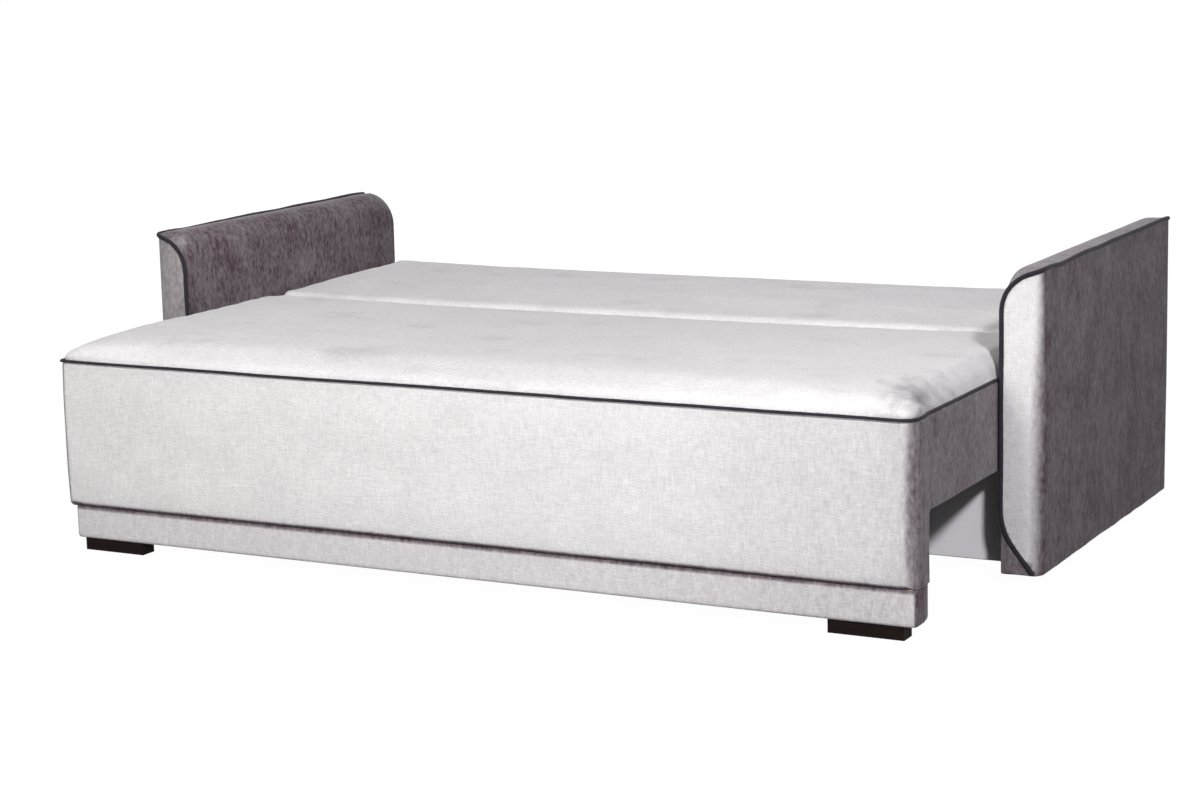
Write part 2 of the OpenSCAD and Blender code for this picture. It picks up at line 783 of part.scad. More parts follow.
arm_core(-1);  // arm_core_left
arm_core(1);  // arm_core_right
arm_cover(-1);  // arm_cover_left
arm_cover(1);  // arm_cover_right
arm_piping(-1);  // arm_piping_left
arm_piping(1);  // arm_piping_right
base_side(-1);  // base_side_left
base_side(1);  // base_side_right
base_front_board();
base_rear_board();
base_rest_blocks();
base_rear_cover();
base_divider();
base_bottom();
base_feet();
runner(-1);  // runner_left
runner(1);  // runner_right
lever_bracket(-1);  // lever_bracket_left
lever_bracket(1);  // lever_bracket_right
bracket_screws();
lever_nuts();
arm_bolts();
seat_side_rails();
seat_cross_rails();
seat_slats();
seat_cushion();
seat_side(-1);  // seat_side_left
seat_side(1);  // seat_side_right
seat_rear_band();
seat_piping();
seat_dust_cover();
apron_rails();
apron_posts();
apron_panel();
apron_pad();
apron_back();
plinth_rail();
plinth_cover();
front_feet();
foot_screws();
roller_bracket(-1);  // roller_bracket_left
roller_bracket(1);  // roller_bracket_right
roller_clips();
roller(-1);  // roller_left
roller(1);  // roller_right
back_side_rails();
back_cross_rails();
back_slats();
back_cushion();
back_dust_cover();
back_bracket(-1);  // back_bracket_left
back_bracket(1);  // back_bracket_right
back_nuts();
swing_arm(-1);  // swing_arm_left
swing_arm(1);  // swing_arm_right
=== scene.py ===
"""A pull-out sofa bed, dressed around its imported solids. Metres, with Y towards the back and Z up."""

from __future__ import annotations

import json
import logging
import math
from dataclasses import dataclass, field
from enum import Enum
from typing import Callable, Iterable, Sequence

import bpy
import numpy as np
from mathutils import Matrix, Vector, noise


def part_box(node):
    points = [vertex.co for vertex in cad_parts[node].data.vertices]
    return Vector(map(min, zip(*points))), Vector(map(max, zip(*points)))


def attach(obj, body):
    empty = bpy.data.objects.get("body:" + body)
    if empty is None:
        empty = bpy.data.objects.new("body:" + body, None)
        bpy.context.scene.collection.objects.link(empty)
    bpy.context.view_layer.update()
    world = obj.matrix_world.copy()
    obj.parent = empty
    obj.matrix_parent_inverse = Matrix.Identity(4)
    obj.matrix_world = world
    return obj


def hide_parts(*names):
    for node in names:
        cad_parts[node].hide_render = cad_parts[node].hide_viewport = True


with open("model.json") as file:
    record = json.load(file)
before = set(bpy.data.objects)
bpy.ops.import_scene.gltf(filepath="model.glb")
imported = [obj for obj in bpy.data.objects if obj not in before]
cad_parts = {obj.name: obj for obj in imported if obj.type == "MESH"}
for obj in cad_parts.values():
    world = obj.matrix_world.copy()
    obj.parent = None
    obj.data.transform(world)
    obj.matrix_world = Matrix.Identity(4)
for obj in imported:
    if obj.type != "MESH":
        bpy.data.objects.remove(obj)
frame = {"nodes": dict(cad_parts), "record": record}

LOG = logging.getLogger("sofa_bed")
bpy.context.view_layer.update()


class Side(Enum):
    """The two ends of the bed, as seen from the front."""

    LEFT = -1
    RIGHT = 1

    @property
    def word(self) -> str:
        """The side's name in lower case."""
        return self.name.lower()


@dataclass(frozen=True)
class BedSizes:
    """Main places of the bed in metres; depths are measured from the arms' front.

    Attributes:
        shift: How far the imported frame's Y is behind the arms' front.
        half: Half the clear width between the arms.
        cord_z: Height of the seat's piping.
        crown_z: Height at which the mattresses' crowns start.
        flare_left: How much wider than the seat the padded front is at the left.
        flare_end_left: Depths over which that width goes back to the seat's.
    """

    shift: float = 0.2235
    half: float = 1.0
    seat_half: float = 0.994
    seat_front: float = -0.470
    seat_rear: float = 0.330
    apron_rear: float = -0.374
    back_front: float = 0.344
    arm_depth: float = 0.920
    seat_under: float = 0.236
    apron_low: float = 0.0982
    side_top: float = 0.421
    cord_z: float = 0.4252
    crown_z: float = 0.4294
    cushion_top: float = 0.4684
    cord_radius: float = 0.0048
    seat_corner: float = 0.036
    left_corner: float = 0.018
    flare_left: float = 0.014
    flare_right: float = 0.004
    flare_end_left: tuple[float, float] = (-0.444, -0.408)
    flare_end_right: tuple[float, float] = (-0.415, -0.380)

    def y(self, value: float) -> float:
        """Turns a depth measured from the arms' front into the frame's Y."""
        return value - self.shift

    def flare(self, x: float, y: np.ndarray | float) -> np.ndarray | float:
        """Works out how far the padded front stands wider than the seat.

        Args:
            x: Any place on the side that is asked for.
            y: Depths in the frame.

        Returns:
            The extra width at each depth.
        """
        most, (near, far) = ((self.flare_right, self.flare_end_right) if x > 0
                             else (self.flare_left, self.flare_end_left))
        return most * (1.0 - smooth_step(self.y(near), self.y(far), y))


SIZES = BedSizes()


# Meshes


def smooth_step(low: float, high: float, value: np.ndarray) -> np.ndarray:
    """Returns 0 below low, 1 above high and a smooth curve between."""
    t = np.clip((value - low) / (high - low), 0.0, 1.0)
    return t * t * (3.0 - 2.0 * t)


@dataclass(frozen=True)
class Waves:
    """Smooth unevenness.

    Attributes:
        depth: About its greatest height.
        cells: Cells per metre along X, Y and Z.
        layers: Layers of ever finer noise.
        seed: Moves the pattern, so that pieces differ.
    """

    depth: float
    cells: tuple[float, float, float]
    layers: int = 2
    seed: float = 0.0

    def at(self, points: np.ndarray) -> np.ndarray:
        """Samples the unevenness.

        Args:
            points: The places, one row each.

        Returns:
            One value from about -depth to depth for each point.
        """
        layer_shift = 7.3
        total = np.zeros(len(points))
        size = 1.0
        weight = 0.0
        for layer in range(self.layers):
            places = points * np.array(self.cells) * size + self.seed + layer_shift * layer
            total += np.array([noise.noise(Vector(p)) for p in places]) / size
            weight += 1.0 / size
            size *= 2.0
        return self.depth * (total / weight)


def make_mesh(name: str, points: np.ndarray, faces: Iterable[Sequence[int]]) -> bpy.types.Object:
    """Makes a smooth-shaded mesh object.

    Args:
        name: The object's name.
        points: The mesh's points, one row each.
        faces: The point numbers of each face.

    Returns:
        The new object, in the scene.
    """
    mesh = bpy.data.meshes.new(name)
    mesh.from_pydata([tuple(p) for p in points], [], [tuple(int(i) for i in f) for f in faces])
    mesh.validate()
    mesh.polygons.foreach_set("use_smooth", np.ones(len(mesh.polygons), bool))
    mesh.update()
    piece = bpy.data.objects.new(name, mesh)
    bpy.context.scene.collection.objects.link(piece)
    return piece


def get_points(piece: bpy.types.Object) -> np.ndarray:
    """Reads a mesh's points.

    Args:
        piece: The mesh object.

    Returns:
        The points, one row each.
    """
    flat = np.zeros(len(piece.data.vertices) * 3)
    piece.data.vertices.foreach_get("co", flat)
    return flat.reshape(-1, 3)


def set_points(piece: bpy.types.Object, points: np.ndarray) -> None:
    """Writes the mesh's points."""
    piece.data.vertices.foreach_set("co", points.ravel())
    piece.data.update()


def get_normals(piece: bpy.types.Object) -> np.ndarray:
    """Reads a mesh's vertex normals.

    Args:
        piece: The mesh object.

    Returns:
        The normals, one row each.
    """
    flat = np.zeros(len(piece.data.vertices) * 3)
    piece.data.vertex_normals.foreach_get("vector", flat)
    return flat.reshape(-1, 3)


def freeze(piece: bpy.types.Object) -> None:
    """Replaces the mesh with what its modifiers make of it, and drops them.

    Args:
        piece: The mesh object.
    """
    graph = bpy.context.evaluated_depsgraph_get()
    made = bpy.data.meshes.new_from_object(piece.evaluated_get(graph))
    old = piece.data
    piece.modifiers.clear()
    piece.data = made
    bpy.data.meshes.remove(old)
    made.polygons.foreach_set("use_smooth", np.ones(len(made.polygons), bool))


def subdivide(piece: bpy.types.Object, levels: int = 1) -> None:
    """Smooths the mesh with a subdivision surface and keeps the result.

    Args:
        piece: The mesh object.
        levels: How often each face is cut into four.
    """
    modifier = piece.modifiers.new("subdivision", "SUBSURF")
    modifier.levels = levels
    modifier.render_levels = levels
    freeze(piece)


def remesh(piece: bpy.types.Object, voxel: float) -> None:
    """Builds the mesh anew from even cells.

    Args:
        piece: The mesh object, a closed form.
        voxel: The size of the cells.
    """
    modifier = piece.modifiers.new("remesh", "REMESH")
    modifier.mode = "VOXEL"
    modifier.voxel_size = voxel
    freeze(piece)


def thicken(piece: bpy.types.Object, wall: float, outwards: bool) -> None:
    """Gives a skin its thickness.

    Args:
        piece: The mesh object.
        wall: The thickness.
        outwards: Whether the wall grows along the faces' normals, or away from them.
    """
    modifier = piece.modifiers.new("wall", "SOLIDIFY")
    modifier.thickness = wall
    modifier.offset = 1.0 if outwards else -1.0
    freeze(piece)


def loft(name: str, rings: Sequence[np.ndarray], capped: bool = True) -> bpy.types.Object:
    """Joins rings of equal point count into one skin.

    Args:
        name: The piece's name.
        rings: Closed rings that run anticlockwise as seen from the end of the loft.
        capped: Whether flat faces close both ends.

    Returns:
        The new object.
    """
    count = len(rings[0])
    faces = [
        (k * count + i, k * count + (i + 1) % count, (k + 1) * count + (i + 1) % count, (k + 1) * count + i)
        for k in range(len(rings) - 1)
        for i in range(count)
    ]
    if capped:
        faces.append(tuple(range(count - 1, -1, -1)))
        faces.append(tuple((len(rings) - 1) * count + i for i in range(count)))
    return make_mesh(name, np.concatenate(rings), faces)


def grid_skin(name: str, points: np.ndarray, keep: Callable[[int, int], bool],
              flipped: bool = False) -> bpy.types.Object:
    """Spans a skin over a grid of points.

    Args:
        name: The piece's name.
        points: The places, by row and column.
        keep: Says for a cell's row and column whether the skin covers it.
        flipped: Whether the faces run the other way round.

    Returns:
        The new object.
    """
    rows, columns = points.shape[:2]
    faces = []
    for row in range(rows - 1):
        for col in range(columns - 1):
            if keep(row, col):
                a = row * columns + col
                quad = (a, a + 1, a + columns + 1, a + columns)
                faces.append(quad[::-1] if flipped else quad)
    places = points.reshape(-1, 3)
    used = np.unique(np.array(faces))
    index = np.full(len(places), -1)
    index[used] = np.arange(len(used))
    return make_mesh(name, places[used], [[index[i] for i in face] for face in faces])


def corner_arc(cx: float, cy: float, radius: float, start: float,
               count: int = 7) -> list[tuple[float, float]]:
    """Returns the points of a quarter circle, anticlockwise from a start angle in degrees."""
    angles = [math.radians(start + 90.0 * i / (count - 1)) for i in range(count)]
    return [(cx + radius * math.cos(a), cy + radius * math.sin(a)) for a in angles]


def rounded_ring(x0: float, x1: float, y0: float, y1: float, radius: float, z: float,
                 sharper: float = 0.0) -> np.ndarray:
    """Draws a rounded rectangle at a height.

    Args:
        x0: Its left side.
        x1: Its right side.
        y0: Its front.
        y1: Its rear.
        radius: Radius of its corners.
        z: Its height.
        sharper: How much smaller the front left corner's radius is.

    Returns:
        The points, anticlockwise from above.
    """
    left = radius - sharper
    flat = (
        corner_arc(x1 - radius, y1 - radius, radius, 0)
        + corner_arc(x0 + radius, y1 - radius, radius, 90)
        + corner_arc(x0 + left, y0 + left, left, 180)
        + corner_arc(x1 - radius, y0 + radius, radius, 270)
    )
    return np.array([(x, y, z) for x, y in flat])


def densify(ring: np.ndarray, step: float) -> np.ndarray:
    """Cuts the four straight edges of a rounded ring into spans, equal in number on every ring of a loft.

    Args:
        ring: The rounded ring.
        step: About the length of a span.

    Returns:
        The ring with its added points.
    """
    width, depth = 2.0, 0.8
    made = []
    quarter = len(ring) // 4
    spans = (int(width / step), int(depth / step))
    for i, (a, b) in enumerate(zip(ring, np.roll(ring, -1, 0))):
        count = spans[(i // quarter) % 2] if i % quarter == quarter - 1 else 1
        made += [a + (b - a) * k / count for k in range(count)]
    return np.array(made)


def end_facing(normals: np.ndarray) -> np.ndarray:
    """Returns how far each normal, seen from above, faces the bed's ends, from 0 to 1."""
    return np.abs(normals[:, 0]) / np.maximum(np.hypot(normals[:, 0], normals[:, 1]), 1e-6)


def set_attribute(piece: bpy.types.Object, name: str, values: np.ndarray) -> None:
    """Stores one number for each point of the mesh."""
    layer = piece.data.attributes.get(name) or piece.data.attributes.new(name, "FLOAT", "POINT")
    layer.data.foreach_set("value", np.clip(values, 0.0, 1.0).astype(np.float32))


# Finishes


def add_node(tree: bpy.types.NodeTree, kind: str, inputs: dict[str | int, object],
             **settings: str | bool) -> bpy.types.Node:
    """Adds a node to a tree.

    Args:
        tree: The node tree.
        kind: The node's type.
        inputs: What each of its sockets is fed with: another socket, or a value.
        **settings: The node's own settings.

    Returns:
        The node.
    """
    node = tree.nodes.new(kind)
    for key, setting in settings.items():
        setattr(node, key, setting)
    for socket, value in inputs.items():
        if isinstance(value, bpy.types.NodeSocket):
            tree.links.new(value, node.inputs[socket])
        else:
            node.inputs[socket].default_value = value
    return node


class Shader:
    """A material's node tree with short calls for adding and linking nodes."""

    def __init__(self, name: str) -> None:
        """Starts a material with one Principled shader.

        Args:
            name: The material's name.
        """
        self.material = bpy.data.materials.new(name)
        self.material.use_nodes = True
        self.tree = self.material.node_tree
        self.surface = self.tree.nodes["Principled BSDF"]
        self.coords = self.tree.nodes.new("ShaderNodeTexCoord").outputs["Object"]

    def link(self, source: bpy.types.NodeSocket, target: str) -> None:
        """Links an output to one of the shader's own sockets."""
        self.tree.links.new(source, self.surface.inputs[target])

    def noise(self, scale: Sequence[float], detail: float = 2.0, rough: float = 0.55) -> bpy.types.NodeSocket:
        """Adds noise on Object coordinates.

        Args:
            scale: Cells per metre along X, Y and Z.
            detail: Layers of finer noise.
            rough: How strong the finer layers are.

        Returns:
            The noise, from 0 to 1.
        """
        mapping = add_node(self.tree, "ShaderNodeMapping", {"Scale": scale, "Vector": self.coords})
        inputs = {"Scale": 1.0, "Detail": detail, "Roughness": rough, "Vector": mapping.outputs["Vector"]}
        return add_node(self.tree, "ShaderNodeTexNoise", inputs).outputs["Fac"]

    def math(self, kind: str, a: bpy.types.NodeSocket | float, b: bpy.types.NodeSocket | float,
             clamp: bool = False) -> bpy.types.NodeSocket:
        """Returns the result of a Math node, kept from 0 to 1 where it is clamped."""
        return add_node(self.tree, "ShaderNodeMath", {0: a, 1: b}, operation=kind, use_clamp=clamp).outputs[0]

    def spread(self, source: bpy.types.NodeSocket, low: float, high: float,
               to_low: float = 0.0, to_high: float = 1.0) -> bpy.types.NodeSocket:
        """Returns values mapped from one range onto another and kept inside it."""
        inputs = {"Value": source, "From Min": low, "From Max": high, "To Min": to_low, "To Max": to_high}
        return add_node(self.tree, "ShaderNodeMapRange", inputs).outputs["Result"]

    def mix(self, factor: bpy.types.NodeSocket, a: Sequence[float],
            b: Sequence[float]) -> bpy.types.NodeSocket:
        """Returns a mix of two colours: the first at 0, the second at 1."""
        inputs = {0: factor, 6: (*a, 1.0), 7: (*b, 1.0)}
        return add_node(self.tree, "ShaderNodeMix", inputs, data_type="RGBA").outputs[2]

    def shade(self, colour: bpy.types.NodeSocket, level: bpy.types.NodeSocket) -> bpy.types.NodeSocket:
        """Returns a colour times a level."""
        inputs = {0: colour, "Scale": level}
        return add_node(self.tree, "ShaderNodeVectorMath", inputs, operation="SCALE").outputs[0]

    def attribute(self, name: str) -> bpy.types.NodeSocket:
        """Returns a number that the mesh stores for each point."""
        return add_node(self.tree, "ShaderNodeAttribute", {}, attribute_name=name).outputs["Fac"]

    def bump(self, height: bpy.types.NodeSocket, distance: float, strength: float) -> None:
        """Feeds the shader's normal with a bump of a depth in metres, of which a share shows."""
        inputs = {"Strength": strength, "Distance": distance, "Height": height}
        self.link(add_node(self.tree, "ShaderNodeBump", inputs).outputs["Normal"], "Normal")

    def set(self, **values: float | Sequence[float]) -> None:
        """Sets the shader's own sockets, named with underscores."""
        for name, value in values.items():
            self.surface.inputs[name.replace("_", " ").title().replace("Ior", "IOR")].default_value = value


@dataclass(frozen=True)
class Chenille:
    """Short-pile upholstery that turns light or dark by the piece's own nap attribute, which holds its nap
    and painted shade.

    Attributes:
        light: Colour of the pile brushed towards the eye.
        dark: Colour of the pile brushed away, which also stands for painted shade.
        thread: Threads per metre.
        slub: Thickened stretches of thread per metre.
        patch: Cells per metre of broad patches.
        streak: Cells per metre of brushed streaks.
        fuzz: Cells per metre of the pile's fine grain.
        patch_share: How far patches turn the nap.
        streak_share: How far streaks turn the nap.
        fuzz_share: How far the grain turns light nap and dark nap.
        weave_range: Sum of the threads at its lowest and highest, and how bright the pile is there.
        cloud_range: The same for the broad patches.
    """

    name: str = "chenille"
    light: tuple[float, float, float] = (0.69, 0.677, 0.680)
    dark: tuple[float, float, float] = (0.070, 0.042, 0.056)
    thread: float = 400.0
    slub: float = 55.0
    patch: tuple[float, float, float] = (7.0, 9.0, 9.0)
    streak: tuple[float, float, float] = (62.0, 62.0, 24.0)
    fuzz: tuple[float, float, float] = (130.0, 130.0, 70.0)
    patch_share: float = 0.40
    streak_share: float = 0.46
    fuzz_share: tuple[float, float] = (0.16, 0.42)
    weave_range: tuple[float, float, float, float] = (0.95, 1.85, 0.85, 1.12)
    cloud_range: tuple[float, float, float, float] = (0.35, 0.62, 0.95, 1.01)

    def build(self) -> bpy.types.Material:
        """Builds the material.

        Returns:
            The material.
        """
        s = Shader(self.name)
        along_x = s.noise((self.slub, self.thread, self.thread), 1.0)
        along_y = s.noise((self.thread, self.slub, self.thread), 1.0)
        along_z = s.noise((self.thread, self.thread, self.slub), 1.0)
        weave = s.math("ADD", s.math("ADD", along_x, along_z), s.math("MULTIPLY", along_y, 0.8))
        level = s.spread(weave, *self.weave_range)
        patches = s.noise(self.patch, 4.0, 0.6)
        cloud = s.spread(patches, *self.cloud_range)
        streaks = s.noise(self.streak, 5.0, 0.75)
        fuzz = s.noise(self.fuzz, 2.0)
        # The nap attribute mixes in the dark colour: brushed nap, and painted shade on ends, undersides and
        # creases.
        nap = s.attribute("nap")
        brushed = s.math("ADD", s.math("MULTIPLY", s.math("SUBTRACT", streaks, 0.5), self.streak_share),
                         s.math("MULTIPLY", s.math("SUBTRACT", patches, 0.5), self.patch_share))
        turned = s.math("ADD", nap, s.math("MULTIPLY", brushed, s.spread(nap, 0.02, 0.30)))
        grain = s.math("MULTIPLY", s.math("SUBTRACT", fuzz, 0.5), s.spread(nap, 0.05, 0.40, *self.fuzz_share))
        turned = s.math("ADD", turned, grain, clamp=True)
        colour = s.mix(turned, self.light, self.dark)
        s.link(s.shade(s.shade(colour, level), cloud), "Base Color")
        s.bump(weave, 0.0009, 0.5)
        s.set(roughness=0.90, sheen_weight=0.20, sheen_roughness=0.45, sheen_tint=(0.93, 0.90, 0.95, 1.0),
              specular_ior_level=0.06)
        return s.material


@dataclass(frozen=True)
class CordCloth:
    """Charcoal cloth wrapped round the piping cords.

    Attributes:
        colour: Its colour.
        worn: How much paler it is where it is worn.
        weave: Threads per metre.
        wear: Worn places per metre.
    """

    name: str = "piping_cloth"
    colour: tuple[float, float, float] = (0.014, 0.012, 0.017)
    worn: float = 1.35
    weave: float = 900.0
    wear: float = 60.0

    def build(self) -> bpy.types.Material:
        """Builds the material.

        Returns:
            The material.
        """
        s = Shader(self.name)
        fine = s.noise((self.weave,) * 3, 2.0)
        wear = s.noise((self.wear,) * 3, 3.0)
        level = s.spread(s.math("ADD", fine, wear), 0.7, 1.3, 0.75, 1.35)
        base = s.mix(wear, self.colour, tuple(self.worn * c for c in self.colour))
        s.link(s.shade(base, level), "Base Color")
        s.bump(fine, 0.0006, 0.6)
        s.set(roughness=0.80, sheen_weight=0.10, sheen_roughness=0.5, sheen_tint=(0.62, 0.60, 0.68, 1.0),
              specular_ior_level=0.2)
        return s.material


@dataclass(frozen=True)
class Grained:
    """Wood with grain along X.

    Attributes:
        light: Colour of the early wood.
        dark: Colour of the late wood.
        gloss: How much it reflects.
        grain: Cells of grain per metre.
    """

    name: str
    light: tuple[float, float, float]
    dark: tuple[float, float, float]
    roughness: float = 0.55
    gloss: float = 0.3
    grain: tuple[float, float, float] = (6.0, 160.0, 160.0)

    def build(self) -> bpy.types.Material:
        """Builds the material.

        Returns:
            The material.
        """
        s = Shader(self.name)
        grain = s.noise(self.grain, 4.0, 0.6)
        pores = s.noise(tuple(4.0 * g for g in self.grain), 2.0)
        fibre = s.spread(s.math("ADD", grain, s.math("MULTIPLY", pores, 0.35)), 0.45, 0.9)
        s.link(s.mix(fibre, self.dark, self.light), "Base Color")
        s.bump(fibre, 0.0004, 0.4)
        s.set(roughness=self.roughness, specular_ior_level=self.gloss)
        return s.material


@dataclass(frozen=True)
class Speckled:
    """Pressed board, lining, plastic or laminate: a tone with fine specks.

    Attributes:
        tone: Its colour.
        specks: Specks per metre.
        contrast: How much lighter or darker the specks are.
        depth: How deep they are.
        gloss: How much it reflects.
    """

    name: str
    tone: tuple[float, float, float]
    specks: float = 260.0
    contrast: float = 0.15
    roughness: float = 0.6
    depth: float = 0.0003
    metallic: float = 0.0
    gloss: float = 0.5

    def build(self) -> bpy.types.Material:
        """Builds the material.

        Returns:
            The material.
        """
        s = Shader(self.name)
        speck = s.noise((self.specks,) * 3, 3.0, 0.6)
        broad = s.noise((4.0, 4.0, 4.0), 3.0)
        low = tuple(c * (1.0 - self.contrast) for c in self.tone)
        high = tuple(min(1.0, c * (1.0 + self.contrast)) for c in self.tone)
        blend = s.spread(s.math("ADD", speck, s.math("MULTIPLY", broad, 0.5)), 0.55, 0.95)
        s.link(s.mix(blend, low, high), "Base Color")
        s.bump(speck, self.depth, 0.5)
        s.set(roughness=self.roughness, metallic=self.metallic, specular_ior_level=self.gloss)
        return s.material


class Finishes:
    """Every material of the bed, built once."""

    def __init__(self) -> None:
        """Builds the materials, keyed by the record's slot names."""
        chenille = Chenille().build()
        others = {
            "piping": CordCloth(),
            "pine": Grained("pine", (0.72, 0.52, 0.31), (0.50, 0.33, 0.17)),
            "wenge": Grained("wenge", (0.010, 0.005, 0.004), (0.003, 0.002, 0.002), 0.72, 0.08),
            "chipboard": Speckled("chipboard", (0.52, 0.40, 0.26), 190.0, 0.30, 0.8),
            "laminate": Speckled("white_laminate", (0.78, 0.775, 0.79), 500.0, 0.03, 0.45, 0.0001,
                                 gloss=0.12),
            "hardboard": Speckled("hardboard", (0.20, 0.12, 0.07), 320.0, 0.2, 0.5),
            "felt": Speckled("lining_felt", (0.030, 0.030, 0.034), 420.0, 0.35, 0.95, 0.0006),
            "steel": Speckled("zinc_steel", (0.56, 0.57, 0.59), 120.0, 0.10, 0.34, 0.0001, 1.0),
            "nylon": Speckled("black_nylon", (0.035, 0.035, 0.038), 600.0, 0.15, 0.45, 0.0001),
        }
        self.by_slot: dict[str, bpy.types.Material] = {"upholstery": chenille, "upholstery_sides": chenille}
        for slot, finish in others.items():
            self.by_slot[slot] = finish.build()

    def dress(self, piece: bpy.types.Object, slot: str) -> None:
        """Gives a piece one slot's material."""
        piece.data.materials.clear()
        piece.data.materials.append(self.by_slot[slot])

    def hand_over(self, piece: bpy.types.Object, body: str, slot: str, nodes: Sequence[str] = ()) -> None:
        """Dresses a finished piece, ties it to its body and reports it.

        Args:
            piece: The finished piece.
            body: The body that it rides on.
            slot: The record's slot of its finish.
            nodes: The solids that it stands for.
        """
        self.dress(piece, slot)
        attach(piece, body)
        if nodes:
            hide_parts(*nodes)
        LOG.info("%s: %d faces", piece.name, len(piece.data.polygons))


# Soft pieces


@dataclass(frozen=True)
class Stuffing:
    """How a padded form is filled.

    Attributes:
        voxel: Size of the mesh's cells.
        pressure: Pressure inside the cover.
        cap: Furthest that a point may move.
        slack: Share by which the cover is larger than its form.
        frames: Steps of the simulation.
    """

    voxel: float
    pressure: float = 4.0
    cap: float = 0.006
    slack: float = 0.012
    frames: int = 20


def stuff(piece: bpy.types.Object, filling: Stuffing, held: Callable[[np.ndarray], np.ndarray]) -> None:
    """Fills a closed form as a cushion, with its held points pinned.

    Args:
        piece: The closed form.
        filling: How it is filled.
        held: Says for points whether each is held still.
    """
    remesh(piece, filling.voxel)
    rest = get_points(piece)
    group = piece.vertex_groups.new(name="held")
    group.add([int(i) for i in np.flatnonzero(held(rest))], 1.0, "REPLACE")
    cloth = piece.modifiers.new("cloth", "CLOTH")
    settings = cloth.settings
    settings.quality = 4
    settings.use_pressure = True
    settings.uniform_pressure_force = filling.pressure
    settings.vertex_group_mass = "held"
    settings.pin_stiffness = 1.0
    settings.shrink_min = -filling.slack
    settings.effector_weights.gravity = 0.0
    cloth.point_cache.frame_start = 1
    cloth.point_cache.frame_end = filling.frames
    scene = bpy.context.scene
    for step in range(1, filling.frames + 1):
        scene.frame_set(step)
    graph = bpy.context.evaluated_depsgraph_get()
    solved = bpy.data.meshes.new_from_object(piece.evaluated_get(graph))
    flat = np.zeros(len(solved.vertices) * 3)
    solved.vertices.foreach_get("co", flat)
    piece.modifiers.clear()
    piece.vertex_groups.clear()
    bpy.data.meshes.remove(solved)
    scene.frame_set(1)
    move = flat.reshape(-1, 3) - rest
    length = np.linalg.norm(move, axis=1, keepdims=True)
    set_points(piece, rest + move * np.minimum(1.0, filling.cap / np.maximum(length, 1e-9)))


